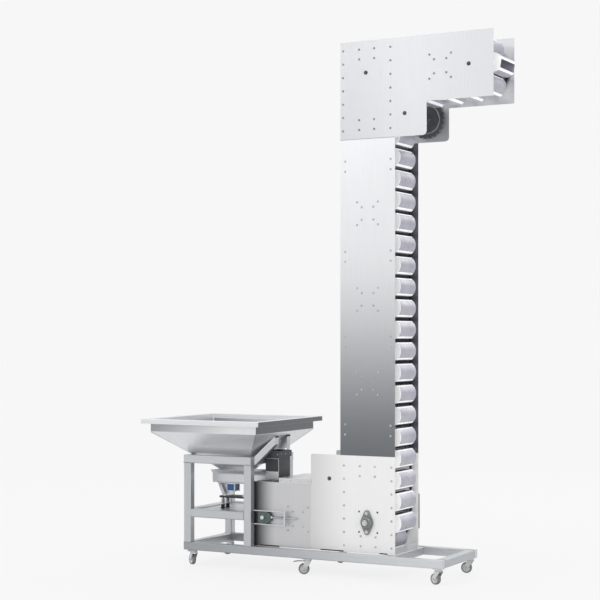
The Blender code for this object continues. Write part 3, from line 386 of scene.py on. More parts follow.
# Floor: a camera ray sees mostly an even glow, so it runs into the background and keeps only faint shadows
ground = {
    "side": 60.0, "seen": 0.84, "glow": 0.962, "dark": (0.86, 0.86, 0.86), "pale": (0.90, 0.90, 0.90),
    "cloud": 0.8, "rough": 0.7,
}
floorMaterial, graph, shader = newMaterial("paleFloor")
cloud = graph.noise(graph.place(), ground["cloud"], 5.0)
graph.put(graph.blend(cloud, ground["dark"], ground["pale"]), shader["Base Color"])
shader["Roughness"].default_value = ground["rough"]
glow = graph.add("Emission", {"Color": (ground["glow"],) * 3})
share = graph.math("MULTIPLY", graph.add("LightPath").outputs["Is Camera Ray"], ground["seen"])
output = next(node for node in floorMaterial.node_tree.nodes if node.type == "OUTPUT_MATERIAL")
body = output.inputs[0].links[0].from_socket
graph.put(graph.add("MixShader", {0: share, 1: body, 2: glow.outputs[0]}).outputs[0], output.inputs[0])
floorMesh = bpy.data.meshes.new("floor")
corners = [(x * ground["side"], y * ground["side"], 0) for x, y in ((-1, -1), (1, -1), (1, 1), (-1, 1))]
floorMesh.from_pydata(corners, [], [(0, 1, 2, 3)])
floorMesh.materials.append(floorMaterial)
floor = bpy.data.objects.new("floor", floorMesh)
scene.collection.objects.link(floor)

# The look of each CAD node: the first start of its name that fits, and sheet where none does
nodeLooks = {
    "boot_front": "bootPlate", "boot_rear": "bootPlate", "column_": "columnPlate", "head_front": "headPlate",
    "head_rear": "headPlate", "arm_front": "armPlate", "arm_rear": "armPlate", "base_front": "railX",
    "base_rear": "railX", "base_": "tubeY", "stand_top": "tubeX", "hopper_strut": "tubeX",
    "stand_shelf": "tubeY",
    "stand_post": "tubeZ", "bucket_run": "bucket", "takeup_block": "castGreen", "caster_fork": "zinc",
    "caster_wheel": "tyre", "feeder_magnet": "coil", "feeder_base": "dark", "drive_bearing": "castDark",
    "gearmotor": "motor", "inlet_chute": "chute", "hopper_bin": "hopperSheet",
}
for name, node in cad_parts.items():
    look = next((look for start, look in nodeLooks.items() if name.startswith(start)), "sheet")
    node.data.materials.clear()
    node.data.materials.append(looks["wheel" if name.endswith("_wheels") else look])
    for polygon in node.data.polygons:
        polygon.material_index = 0

print("stage: shapes")

# A shape is a pair: points (n by 3) and quads (m by 4). Each comes from a grid of points, row by row.
axisOrder = {"Z": (0, 1, 2), "Y": (0, 2, 1), "X": (2, 0, 1)}  # an outline's a and b and its place, as x y z
meshing = {"merge": 2e-6, "sharp": 38}  # nearer points than merge are one; an edge over sharp degrees is hard


def surface(points, closeRows=False, closeColumns=False):
    points = np.asarray(points, float)
    rows, columns = points.shape[:2]
    row, column = np.meshgrid(
        np.arange(rows if closeRows else rows - 1), np.arange(columns if closeColumns else columns - 1),
        indexing="ij",
    )
    nextRow, nextColumn = (row + 1) % rows, (column + 1) % columns
    corners = [a * columns + b for a, b in (
        (row, column), (row, nextColumn), (nextRow, nextColumn), (nextRow, column),
    )]
    return points.reshape(-1, 3), np.stack(corners, -1).reshape(-1, 4)


def joined(shapes):
    points, quads, count = [], [], 0
    for shapePoints, shapeQuads in shapes:
        points.append(shapePoints)
        quads.append(shapeQuads + count)
        count += len(shapePoints)
    return np.concatenate(points), np.concatenate(quads)


# Moves a shape: a turn in degrees about each axis in turn (x, y, z), then a shift
def turned(shape, x=0, y=0, z=0, shift=(0, 0, 0)):
    points, quads = shape
    for axis, angle in enumerate((x, y, z)):
        if angle:
            c, s = math.cos(math.radians(angle)), math.sin(math.radians(angle))
            first, second = [(1, 2), (2, 0), (0, 1)][axis]
            a, b = points[:, first].copy(), points[:, second].copy()
            points = points.copy()
            points[:, first], points[:, second] = a * c - b * s, a * s + b * c
    return points + np.asarray(shift, float), quads


# One shape from points (copies by points by 3) that all have the same quads
def repeated(points, quads):
    count, size = points.shape[:2]
    return points.reshape(-1, 3), (quads[None] + (np.arange(count) * size)[:, None, None]).reshape(-1, 4)


def copies(shape, shifts):
    points, quads = shape
    return repeated(points[None] + np.asarray(shifts, float)[:, None], quads)


# Lays a flat outline (a, b) at a place along an axis
def atPlace(outline, place, axis):
    return np.column_stack((outline, np.full(len(outline), place)))[:, axisOrder[axis]]


# Turns a profile of (radius, height) round an axis through centre
def lathe(profile, centre=(0, 0, 0), axis="Z", sides=24, closed=False):
    profile = np.asarray(profile, float)
    angle = 2 * np.pi * np.arange(sides) / sides
    radius, height = profile[:, :1], np.repeat(profile[:, 1:2], sides, 1)
    across, up = radius * np.cos(angle), radius * np.sin(angle)
    stack = {"X": (height, across, up), "Y": (up, height, across), "Z": (across, up, height)}[axis]
    return surface(np.stack(stack, -1) + np.asarray(centre, float), closed, True)


# The same profile upside down, and a plain round bar
def mirror(profile):
    return [(radius, -height) for radius, height in profile[::-1]]


def rod(radius, low, high):
    return [(0, low), (radius, low), (radius, high), (0, high)]


# The outline of a rectangle with round corners, anticlockwise
def roundRectangle(halfA, halfB, radius, steps=4):
    quarter = np.linspace(0, np.pi / 2, steps + 1)
    arcs = []
    for turn, (signA, signB) in enumerate(((1, 1), (-1, 1), (-1, -1), (1, -1))):
        angle = quarter + turn * np.pi / 2
        a = signA * (halfA - radius) + radius * np.cos(angle)
        arcs.append(np.stack((a, signB * (halfB - radius) + radius * np.sin(angle)), -1))
    return np.concatenate(arcs)


# Moves a closed anticlockwise outline inwards by a distance, along the mean of its sides' normals
def inset(outline, distance):
    forward = np.roll(outline, -1, 0) - outline
    forward /= np.linalg.norm(forward, axis=1, keepdims=True) + 1e-12
    normal = np.stack((-forward[:, 1], forward[:, 0]), -1)
    mean = normal + np.roll(normal, 1, 0)
    mean /= np.maximum((mean * normal).sum(1, keepdims=True), 0.35)  # keeps sharp corners from shooting out
    return outline + mean * distance


# A closed bar of an outline (a, b) along an axis from low to high, with its end edges rounded by edge
def prism(outline, low, high, edge, axis="Y", steps=2):
    outline = np.asarray(outline, float)
    rings = [(np.broadcast_to(outline.mean(0), outline.shape), low)]
    for n in range(steps + 1):
        angle = np.pi / 2 * n / steps
        rings.append((inset(outline, edge * (1 - math.sin(angle))), low + edge * (1 - math.cos(angle))))
    rings += [(ring, low + high - place) for ring, place in rings[::-1]]
    return surface(np.stack([atPlace(ring, place, axis) for ring, place in rings]), closeColumns=True)


# A box with all edges rounded, between two corners
def roundBox(low, high, radius=0.001, steps=2):
    low, high = np.asarray(low, float), np.asarray(high, float)
    long = int(np.argmax(high - low))
    first, second = [axis for axis in range(3) if axis != long]
    half, middle = (high - low) / 2, (high + low) / 2
    outline = roundRectangle(half[first], half[second], radius, steps) + middle[[first, second]]
    return prism(outline, low[long], high[long], min(radius, 0.0025), "XYZ"[long])


# A round bar bent along a path of points; its radius may change from point to point
def sweep(path, radius, sides=6):
    path = np.asarray(path, float)
    radius = np.broadcast_to(np.asarray(radius, float), len(path))[:, None, None]
    tangent = np.gradient(path, axis=0)
    tangent /= np.linalg.norm(tangent, axis=1, keepdims=True)
    side = np.cross(tangent[0], (0.3, 0.5, 0.81))
    frames = []
    for along in tangent:
        side = side - along * side.dot(along)
        side /= np.linalg.norm(side)
        frames.append((side, np.cross(along, side)))
    frames = np.array(frames)
    angle = 2 * np.pi * np.arange(sides) / sides
    ring = sum(frames[:, n, None] * turn(angle)[None, :, None] for n, turn in enumerate((np.cos, np.sin)))
    first, last = (np.broadcast_to(path[n], (1, sides, 3)) for n in (0, -1))
    return surface(np.concatenate((first, path[:, None] + ring * radius, last)), closeColumns=True)


# A weld bead along a path of corners: a thin bar whose radius swells and shrinks with each drop,
# radius (1 + swell sin)
weld = {"step": 0.0035, "swell": 0.22, "turn": 2.1}


def bead(path, radius=0.0028):
    path = np.asarray(path, float)
    along = np.concatenate(([0], np.cumsum(np.linalg.norm(np.diff(path, axis=0), axis=1))))
    stops = np.linspace(0, along[-1], max(2, round(along[-1] / weld["step"]) + 1))
    points = np.stack([np.interp(stops, along, path[:, axis]) for axis in range(3)], -1)
    return sweep(points, radius * (1 + weld["swell"] * np.sin(np.arange(len(points)) * weld["turn"])))


# Thin sheet: an outer and an inner line, both open, drawn out along x and closed at its edges
def sheetBar(outer, inner, low, high):
    outline = np.concatenate((outer, inner[::-1]))
    walls = surface(np.stack([atPlace(outline, place, "X") for place in (low, high)]), closeColumns=True)
    ends = [np.stack([atPlace(line, place, "X") for line in (outer, inner)]) for place in (low, high)]
    return joined([walls, *map(surface, ends)])


# A line set off to its left by a distance, corner by corner
def beside(line, distance):
    forward = np.diff(line, axis=0)
    forward /= np.linalg.norm(forward, axis=1, keepdims=True)
    normal = np.stack((-forward[:, 1], forward[:, 0]), -1)
    mean = np.concatenate((normal[:1], normal[:-1] + normal[1:], normal[-1:]))
    near = np.concatenate((normal[:1], normal[1:], normal[-1:]))
    return line + mean / np.maximum((mean * near).sum(1, keepdims=True), 0.3) * distance


# Rounds the corners of a line of points, each with a short curve whose t goes from 0 at its start to 1
def softLine(line, radius, steps=4):
    line = np.asarray(line, float)
    found = [line[0]]
    for before, corner, after in zip(line, line[1:], line[2:]):
        back, on = before - corner, after - corner
        start = corner + back * min(radius / np.linalg.norm(back), 0.5)
        end = corner + on * min(radius / np.linalg.norm(on), 0.5)
        for t in np.arange(steps + 1) / steps:
            found.append((1 - t) ** 2 * start + 2 * t * (1 - t) * corner + t * t * end)
    return np.array(found + [line[-1]])


def makePiece(name, shapes, look, body="machine", replaced=()):
    points, quads = joined(shapes)
    mesh = bpy.data.meshes.new(name)
    mesh.vertices.add(len(points))
    mesh.vertices.foreach_set("co", (points - originShift).astype(np.float32).ravel())
    mesh.loops.add(quads.size)
    mesh.loops.foreach_set("vertex_index", quads.ravel().astype(np.int32))
    mesh.polygons.add(len(quads))
    mesh.polygons.foreach_set("loop_start", np.arange(0, quads.size, 4, dtype=np.int32))
    mesh.update(calc_edges=True)
    shape = bmesh.new()
    shape.from_mesh(mesh)
    bmesh.ops.remove_doubles(shape, verts=shape.verts, dist=meshing["merge"])
    bmesh.ops.recalc_face_normals(shape, faces=shape.faces)
    shape.to_mesh(mesh)
    shape.free()
    mesh.polygons.foreach_set("use_smooth", np.ones(len(mesh.polygons), dtype=bool))
    mesh.set_sharp_from_angle(angle=math.radians(meshing["sharp"]))
    mesh.materials.append(looks[look])
    piece = bpy.data.objects.new(name, mesh)
    scene.collection.objects.link(piece)
    flats = piece.modifiers.new("flats", "WEIGHTED_NORMAL")
    flats.keep_sharp = True
    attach(piece, body)
    if replaced:
        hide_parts(*replaced)


print("stage: chain and buckets")

# The chain's loop: wheels (x, z, side, teeth) in order, the link pitch, and where the first bucket hangs
loop = {
    "wheels": {
        "takeup_wheels": (-0.618, 0.387, 1, 23), "boot_bend_wheels": (-0.088, 0.693, -1, 23),
        "head_wheels": (0.202, 3.589, 1, 26), "end_wheels": (0.985, 3.589, 1, 24),
        "head_bend_wheels": (0.504, 3.281, -1, 22), "drive_wheels": (0.214, 0.393, 1, 27),
    },
    "pitch": 0.0381, "links": 4, "phase": 0.08, "chainY": 0.0227, "depth": 0.410,
}


def pitchRadius(teeth):
    return loop["pitch"] / (2 * math.sin(math.pi / teeth))


# The pitch line as straight runs and arcs: a run touches two wheels, so it turns from the line between their
# centres by the angle whose sine is the difference of their signed radii over the distance
def loopStretches():
    spots = [(x, z, side * pitchRadius(teeth)) for x, z, side, teeth in loop["wheels"].values()]
    runs = []
    for (x1, z1, out1), (x2, z2, out2) in zip(spots, spots[1:] + spots[:1]):
        heading = math.atan2(z2 - z1, x2 - x1) - math.asin((out1 - out2) / math.hypot(x2 - x1, z2 - z1))
        left = np.array((-math.sin(heading), math.cos(heading)))
        runs.append((np.array((x1, z1)) + left * out1, np.array((x2, z2)) + left * out2, heading))
    found = []
    for n, (start, end, heading) in enumerate(runs):
        x, z, out = spots[(n + 1) % len(spots)]
        turn = (heading - runs[(n + 1) % len(runs)][2]) * np.sign(out) % (2 * math.pi)
        found.append(("run", start, end, heading, float(np.linalg.norm(end - start))))
        found.append(("arc", np.array((x, z)), out, heading, turn * abs(out)))
    return found


stretches = loopStretches()
loopLength = sum(stretch[4] for stretch in stretches)
bucketCount = round(loopLength / (loop["pitch"] * loop["links"]))
bucketPitch = loopLength / bucketCount


def onLoop(distance):
    distance %= loopLength
    for kind, first, second, heading, length in stretches:
        if distance > length:
            distance -= length
        elif kind == "run":
            return first + (second - first) * distance / length
        else:
            now = heading - distance / second
            return first + second * np.array((-math.sin(now), math.cos(now)))
    return stretches[0][1]


pinSteps = np.arange(bucketCount * loop["links"]) / loop["links"]
pins = np.array([onLoop((step + loop["phase"]) * bucketPitch) for step in pinSteps])

# Chain: plates shaped like a figure eight, two by two, rollers between them, pins through all
link = {
    "plateRadius": 0.0082, "waist": 0.0056, "plate": 0.0020, "inner": 0.0042, "outer": 0.0068,
    "roller": 0.0055, "pin": 0.0028, "pinOut": 0.001,
}


def chainLink(offset):
    half, radius = loop["pitch"] / 2, link["plateRadius"]
    around = np.radians(np.linspace(-100, 100, 9))
    right = np.stack((half + radius * np.cos(around), radius * np.sin(around)), -1)
    top = np.array([(0.0, link["waist"])])
    outline = np.concatenate((right, top, -right, -top))
    low, high = offset - link["plate"] / 2, offset + link["plate"] / 2
    return joined([prism(outline, y, y + link["plate"], 0.0004, "Y", 1) for y in (-high, low)])


# Copies of a flat-lying shape, each along the line from one of starts to one of ends
def laid(shape, starts, ends):
    points, quads = shape
    along = (ends - starts) / np.linalg.norm(ends - starts, axis=1, keepdims=True)
    middle = (starts + ends) / 2
    x = middle[:, :1] + points[None, :, 0] * along[:, :1] - points[None, :, 2] * along[:, 1:]
    z = middle[:, 1:] + points[None, :, 0] * along[:, 1:] + points[None, :, 2] * along[:, :1]
    y = np.broadcast_to(points[None, :, 1], x.shape)
    return repeated(np.stack((x, y, z), -1), quads)


following = np.roll(pins, -1, 0)
pinShifts = np.stack((pins[:, 0], np.zeros(len(pins)), pins[:, 1]), -1)
rollerHalf = link["inner"] - link["plate"] / 2
pinHalf = link["outer"] + link["plate"] / 2 + link["pinOut"]
chainUnit = joined([
    laid(chainLink(link["inner"]), pins[0::2], following[0::2]),
    laid(chainLink(link["outer"]), pins[1::2], following[1::2]),
    copies(lathe(rod(link["roller"], -rollerHalf, rollerHalf), axis="Y", sides=12), pinShifts),
    copies(lathe(rod(link["pin"], -pinHalf, pinHalf), axis="Y", sides=8), pinShifts),
])
chainSides = {"front": loop["chainY"], "rear": loop["depth"] - loop["chainY"]}
for side, y in chainSides.items():
    makePiece(f"chain_{side}", [turned(chainUnit, shift=(0, y, 0))], "chain")

# Buckets: the section is an ellipse round the pivot, x = half cos t, z = height sin t, cut level at rim and
# keel, with a rolled lip at the rim and a moulded rib low on each flank. Along y it is full size between the
# end walls, and an end wall is the section squeezed to x = 0. A bucket on the end wheel leans: by tip
# degrees level with the wheel's centre, and by less towards tipReach degrees above and below it.
bucket = {
    "half": 0.068, "height": 0.072, "rise": 0.0615, "drop": 0.066, "wall": 0.003, "fromPlate": 0.070,
    "soft": 0.003, "lip": 0.0020, "rib": 0.0022, "ribLow": -0.0635, "ribHigh": -0.0570, "ribSoft": 0.001,
    "boss": 0.013, "bossOut": 0.004, "pin": 0.005, "tip": 105, "tipReach": 62,
}
bucketEnd = loop["depth"] / 2 - bucket["fromPlate"]
lipBead = ((-0.3, 0), (0.7, 0), (1.7, -0.6), (1.7, -1.6), (1.9, -2.6))  # in lips, from the rim's edge


def bucketSection(inward, steps):
    half, height = bucket["half"] - inward, bucket["height"] - inward
    rim, keel = math.asin(bucket["rise"] / height), -math.asin((bucket["drop"] - inward) / height)
    angle = np.linspace(rim, keel, steps)
    side = np.stack((half * np.cos(angle), height * np.sin(angle)), -1)
    if not inward:
        low, high, soft = bucket["ribLow"], bucket["ribHigh"], bucket["ribSoft"]
        ribs = []
        for place, out in ((high, 0), (high - soft, bucket["rib"]), (low + soft, bucket["rib"]), (low, 0)):
            around = math.asin(place / height)
            ribs.append(((half + out) * math.cos(around), (height + out * 0.3) * math.sin(around)))
        between = side[1:-1][side[1:-1][:, 1] > high + soft]
        side = np.concatenate((side[0] + bucket["lip"] * np.array(lipBead), between, ribs, side[-1:]))
    return np.concatenate((side, [(0.0, side[-1, 1])], side[::-1] * (-1, 1)))


# One skin as a grid: rows from the middle of one end wall round its soft edge, and back to the other
def bucketSkin(inward, steps):
    section = bucketSection(inward, steps)
    end, soft = bucketEnd - inward, bucket["soft"] - inward * 0.5
    grid = []
    edge = soft * 0.3
    for squeeze, pull, y in ((0, soft, end), (1, soft, end), (1, edge, end - edge), (1, 0, end - soft)):
        ring = section.copy()
        ring[:, 0] = (ring[:, 0] - np.sign(ring[:, 0]) * pull) * squeeze
        ring[:, 1] += pull * np.clip(-ring[:, 1] / bucket["drop"], 0, 1)
        grid.append(atPlace(ring, -y, "Y"))
    return np.stack(grid + [row * (1, -1, 1) for row in grid[::-1]])


# The grey flanks and inside, and apart from them the end walls, lips, ribs and bosses, whose paler, glowing
# copy of the moulding's colour is painted light
def bucketShape():
    outer, inner = bucketSkin(0.0, 12), bucketSkin(bucket["wall"], 10)
    middle = outer.shape[1] // 2
    cuts = [0, len(lipBead), middle - 6, middle - 2]  # the lip's end, the rib's start and its end
    cuts += [2 * middle - cut for cut in cuts[::-1]]
    bands = [surface(outer[3:5, first:last + 1]) for first, last in zip(cuts, cuts[1:])]
    pale = bands[0::2] + [surface(outer[:4]), surface(outer[4:])]
    pale += [surface(np.stack((outer[:, edge], inner[:, edge]))) for edge in (0, -1)]
    out, boss = bucket["bossOut"], bucket["boss"]
    profile = [(0, 0), (boss - 0.001, 0), (boss, 0.001), (boss + 0.001, out + 0.002), (0, out + 0.002)]
    for sign in (-1, 1):
        pale.append(lathe([(r, sign * (bucketEnd + out - h)) for r, h in profile], axis="Y", sides=20))
    return {"flanks": joined([*bands[1::2], surface(inner)]), "ends": joined(pale)}


def tipOf(place):
    x, z, _, teeth = loop["wheels"]["end_wheels"]
    across, up = place[0] - x, place[1] - z
    if math.hypot(across, up) > pitchRadius(teeth) + bucket["wall"] or across < 0:
        return 0.0
    return max(0.0, bucket["tip"] * (1 - abs(math.degrees(math.atan2(up, across))) / bucket["tipReach"]))


bucketUnits = bucketShape()
middleY = loop["depth"] / 2
pinLow, pinHigh = loop["chainY"] + pinHalf - 0.001, bucket["fromPlate"] - bucket["bossOut"] + 0.001
stub, farStub = (
    lathe(rod(bucket["pin"], *ends), axis="Y", sides=12)
    for ends in ((pinLow, pinHigh), (loop["depth"] - pinHigh, loop["depth"] - pinLow))
)
runEnds = {
    "rising_lower": 14, "rising_upper": 24, "head": 37, "falling_upper": 47, "falling_lower": 57, "boot": 67,
}
first = 0
for name, last in runEnds.items():
    places = [pins[n * loop["links"]] for n in range(first, last)]
    for part, look in (("flanks", "bucket"), ("ends", "bucketPaintedLight")):
        unit = bucketUnits[part]
        shapes = [turned(unit, y=tipOf(place), shift=(place[0], middleY, place[1])) for place in places]
        makePiece(f"bucket_{part}_{name}", shapes, look, replaced=(f"bucket_run_{name}",))
    stubs = copies(joined([stub, farStub]), [(place[0], 0, place[1]) for place in places])
    makePiece(f"bucket_pins_{name}", [stubs], "bolt")
    first = last

print("stage: fasteners")


# Where a CAD node lies, in the machine's frame
def nodeBox(name):
    low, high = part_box(name)
    return np.array(low) + originShift, np.array(high) + originShift


# Turns a shape that stands along z to stand out along another axis, toward "-Y" for instance
def facing(shape, toward):
    axis = "XYZ".index(toward[1])
    order = [0, 1, 2]
    order[axis], order[2] = 2, axis
    points = shape[0][:, order]
    points[:, axis] *= -1 if toward[0] == "-" else 1
    return points, shape[1]


# Fasteners stand up from the sheet that they hold: a button head on a washer (radius and height of each, and
# the socket's radius), and a hexagon on one (the washer's radius, the hexagon's at its corners, its top)
button = (0.0085, 0.0014, 0.0064, 0.0042, 0.0026)
hexWasher = {"high": 0.0018, "soft": 0.0004, "overlap": 0.0002}
hexSizes = {
    "shaftCap": (0.0150, 0.0092, 0.0080), "hubScrew": (0.0045, 0.0040, 0.0050),
    "leafBolt": (0.0078, 0.0062, 0.0062), "footNut": (0.0125, 0.0110, 0.0095),
    "slabNut": (0.0120, 0.0105, 0.0090), "rodNut": (0.0120, 0.0115, 0.0100),
    "bearingBolt": (0.0125, 0.0105, 0.0100), "gearBolt": (0.0070, 0.0058, 0.0055),
    "axleHead": (0.0085, 0.0075, 0.0060), "axleNut": (0.0085, 0.0075, 0.0070),
}
sunk = -0.0004  # how deep a fastener's foot stands in its sheet


def buttonHead(toward, size=1.0):
    w, t, r, h, k = (value * size for value in button)
    profile = [
        (0, sunk), (w, sunk), (w, t * 0.6), (w - 0.0005, t), (r, t), (r, t + h * 0.25),
        (r * 0.86, t + h * 0.75), (r * 0.6, t + h), (k, t + h), (k * 0.9, t + h * 0.4), (0, t + h * 0.4),
    ]
    return facing(lathe(profile, sides=16), toward)


def hexHead(kind, toward, turn=0.3):
    washer, hexagon, high = hexSizes[kind]
    corners = np.arange(6) * np.pi / 3 + turn
    outline = np.stack((np.cos(corners), np.sin(corners)), -1) * hexagon
    top, soft = hexWasher["high"], hexWasher["soft"]
    profile = [(0, sunk), (washer, sunk), (washer, top - soft), (washer - 0.0005, top), (0, top)]
    head = prism(outline, top - hexWasher["overlap"], high, 0.0010, "Z", 1)
    return facing(joined([lathe(profile, sides=20), head]), toward)


def product(xs, zs):
    return [(x, z) for x in xs for z in zs]


# The corners of rectangles round one centre, each given by its half sizes
def cross(x, z, *offsets):
    return [spot for a, b in offsets for spot in product((x - a, x + a), (z - b, z + b))]


plateBolts = {
    "head": product((0.022, 0.394), 3.756 - 0.0955 * np.arange(7))
    + product((0.150, 0.268), (3.757, 3.687, 3.255, 3.185))
    + cross(0.773, 3.591, (0.081, 0.084), (0.046, 0.049)),
    "column": product((0.039, 0.396), (2.966, 2.893, 2.320, 2.249, 1.713, 1.640, 1.085, 1.013))
    + [spot for z in (2.589, 1.978, 1.381) for spot in cross(0.2155, z, (0.082, 0.081), (0.046, 0.045))],
    "boot": product((0.029, 0.403), 0.696 - 0.095 * np.arange(6))
    + product((0.028, 0.155, 0.273, 0.402), (0.791,)) + product((0.155, 0.273), (0.721,))
    + product((0.162, 0.279), (0.292, 0.222)),
    "arm": cross(-0.344, 0.387, (0.082, 0.087), (0.0435, 0.054)),
}
shaftBolts = {"head": [(0.202, 3.589), (0.504, 3.281), (0.985, 3.589)], "boot": [(-0.088, 0.693)]}
for side, toward, face in (("front", "-Y", 0.0), ("rear", "+Y", loop["depth"])):
    for plate, spots in plateBolts.items():
        heads = copies(buttonHead(toward), [(x, face, z) for x, z in spots])
        # Painted shade: the head's button heads take a darker copy of the same bolt steel
        look = "plateBolt" if plate == "head" else "bolt"
        makePiece(f"bolts_{plate}_{side}", [heads], look)
        if plate in shaftBolts:
            caps = copies(hexHead("shaftCap", toward), [(x, face, z) for x, z in shaftBolts[plate]])
            makePiece(f"shaft_bolts_{plate}_{side}", [caps], "darkBolt")

# Dark plugs in the four spare holes round the bearing; black strips at the front plates' foot flange are
# painted shade in the gap beneath the plates
plug = {"spots": product((0.149, 0.293), (0.468, 0.323)), "radius": 0.0068, "rim": 0.0010, "low": 0.0006}
r, low = plug["radius"], plug["low"]
plugProfile = [(0, sunk), (r, sunk), (r, low), (r - 0.0008, plug["rim"]), (r - 0.0023, low), (0, low)]
plugs = copies(facing(lathe(plugProfile, sides=20), "-Y"), [(x, 0.0, z) for x, z in plug["spots"]])
makePiece("spare_hole_plugs", [plugs], "rubber")
# Painted shade: black strips for the dark gap under the front plates
footGapShade = {
    "x": ((-0.662, -0.500), (-0.160, 0.026), (0.310, 0.372)), "y": (-0.0006, 0.001), "z": (0.1745, 0.1825),
}
gapShadeStrips = [roundBox(*zip(span, footGapShade["y"], footGapShade["z"]), 0.0004, 1) for span in footGapShade["x"]]
makePiece("foot_gap_shade", gapShadeStrips, "rubber")

# Sealing strips in the joints between the column's plates and those above and below them
joint = {"deep": 0.001, "proud": 0.0007, "half": 0.0013, "end": 0.001}
bootLow, bootHigh = nodeBox("boot_front_plate")
columnHigh = nodeBox("column_front_plate")[1]
jointLevels = ((columnHigh[2] + nodeBox("head_front_plate")[0][2]) / 2, bootHigh[2] + 0.00015)
strips = []
for face, out in ((0.0, -1), (loop["depth"], 1)):
    near, far = sorted((face - out * joint["deep"], face + out * joint["proud"]))
    for z in jointLevels:
        low = (joint["end"], near, z - joint["half"])
        high = (columnHigh[0] - joint["end"], far, z + joint["half"])
        strips.append(roundBox(low, high, 0.0004, 1))
makePiece("plate_joints", strips, "darkBolt")

# A folded strip across the open side of the boot, at its foot
strip = {"in": 0.010, "thick": 0.0015, "side": 0.0025, "low": 0.001, "high": 0.046}
left = bootHigh[0] - strip["in"]
low = (left, strip["side"], bootLow[2] + strip["low"])
high = (left + strip["thick"], loop["depth"] - strip["side"], bootLow[2] + strip["high"])
makePiece("boot_foot_strip", [roundBox(low, high, 0.0004, 1)], "zinc")

print("stage: toothed wheels")

# Toothed wheels: the rim swings between a seat at each pin and a tip half a tooth on,
# radius = pitch radius + depth c (1.25 - 0.25 |c|) with c = - cos of the tooth's phase. The disc's steps and
# its raised ring are shares of the pitch radius.
wheelSize = {
    "thick": 0.0060, "seat": 0.0058, "tip": 0.0052, "shaft": 0.0150, "shaftSoft": 0.0015, "hub": 0.0300,
    "hubOut": 0.0150, "hubSoft": 0.002, "steps": (0.60, 0.68, 0.82), "ring": 0.75,
    "ringWide": (0.004, 0.003), "ringHigh": (0.0028, 0.0042),
}


def toothedDisc(teeth, firstPin):
    radius, half = pitchRadius(teeth), wheelSize["thick"] / 2
    angle = np.linspace(0, 2 * np.pi, teeth * 10, endpoint=False)
    wave = -np.cos((angle - firstPin) * teeth)
    depth = np.where(wave < 0, wheelSize["seat"], wheelSize["tip"])
    rim = radius + depth * wave * (1.25 - 0.25 * np.abs(wave))
    shaft, hub = wheelSize["shaft"], wheelSize["hub"]
    first, second, third = (radius * share for share in wheelSize["steps"])
    rows = (
        (shaft, -1), (hub, -1), (first, -1), (second, -1), (third, -0.75), (rim, -0.8), (rim, 0.8),
        (third, 0.75), (second, 1), (shaft, 1),
    )
    circle = np.stack((np.cos(angle), np.sin(angle)))
    rings = [atPlace((circle * r).T, half * share, "Y") for r, share in rows]
    return surface(np.stack(rings), closeColumns=True)


for node, (x, z, side, teeth) in loop["wheels"].items():
    radius = pitchRadius(teeth)
    shaft, hub, out = (wheelSize[key] for key in ("shaft", "hub", "hubOut"))
    near = pins[np.argmin(np.abs(np.linalg.norm(pins - (x, z), axis=1) - radius))]
    disc = toothedDisc(teeth, math.atan2(near[1] - z, near[0] - x))
    soft = wheelSize["hubSoft"]
    hubProfile = [(shaft, 0), (hub, 0), (hub, out - soft), (hub - soft, out), (shaft, out)]
    wide, high = wheelSize["ringWide"], wheelSize["ringHigh"]
    lip = [(-wide[0], high[0]), (-wide[1], high[1]), (wide[1], high[1]), (wide[0], high[0])]
    discs, steelParts = [], []
    for y, inward in zip(chainSides.values(), (1, -1)):
        discs.append(turned(disc, shift=(x, y, z)))
        discs.append(lathe([(r, y + inward * h) for r, h in hubProfile], (x, 0, z), "Y", 28))
        screwSpot = (x + hub - 0.001, y + inward * out * 0.6, z)
        steelParts.append(turned(hexHead("hubScrew", "+X"), shift=screwSpot))
        for face in (-1, 1):
            ring = [(radius * wheelSize["ring"] + a, y + face * h) for a, h in lip]
            steelParts.append(lathe(ring, (x, 0, z), "Y", 48))
    front, rear = (corner[1] for corner in nodeBox(node))
    soft = wheelSize["shaftSoft"]
    shaftProfile = [
        (0, front), (shaft - soft, front), (shaft, front + soft), (shaft, rear - soft), (shaft - soft, rear),
        (0, rear),
    ]
    steelParts.append(lathe(shaftProfile, (x, 0, z), "Y", 28))
    makePiece(f"{node}_discs", discs, "wheel", replaced=(node,))
    makePiece(f"{node}_shaft", steelParts, "machined")

print("stage: frame welds")

# Weld beads where the tubes of the frame meet: round the posts' ends, over the base's cross tubes where they
# butt on the long rails, and at the shelf's corners
seam = {"out": 0.0003, "post": 0.0005, "foot": 0.004, "shelfDown": 0.012}
posts = [nodeBox(f"stand_post_{side}_{place}") for side in ("front", "rear") for place in ("left", "right")]
shelfLow, shelfHigh = nodeBox("stand_shelf")
beads = []
for low, high in posts:
    ring = [(low[0], low[1]), (high[0], low[1]), (high[0], high[1]), (low[0], high[1]), (low[0], low[1])]
    for z in (low[2] + seam["post"], high[2] - seam["post"]):
        beads.append(bead([(x, y, z) for x, y in ring]))
for name in ("base_left_rail", "base_stand_crossbar", "base_boot_crossbar", "base_right_rail"):
    low, high = nodeBox(name)
    foot = low[2] + seam["foot"]
    for y in (low[1] - seam["out"], high[1] + seam["out"]):
        path = [(low[0], foot), (low[0], high[2]), (high[0], high[2]), (high[0], foot)]
        beads.append(bead([(x, y, z) for x, z in path]))
for low, high in posts:
    x = high[0] + seam["out"] if low[0] < shelfLow[0] + 0.03 else low[0] - seam["out"]
    z = shelfHigh[2] - seam["shelfDown"]
    beads.append(bead([(x, low[1] + seam["foot"], z), (x, high[1] - seam["foot"], z)]))
makePiece("frame_welds", beads, "bolt")
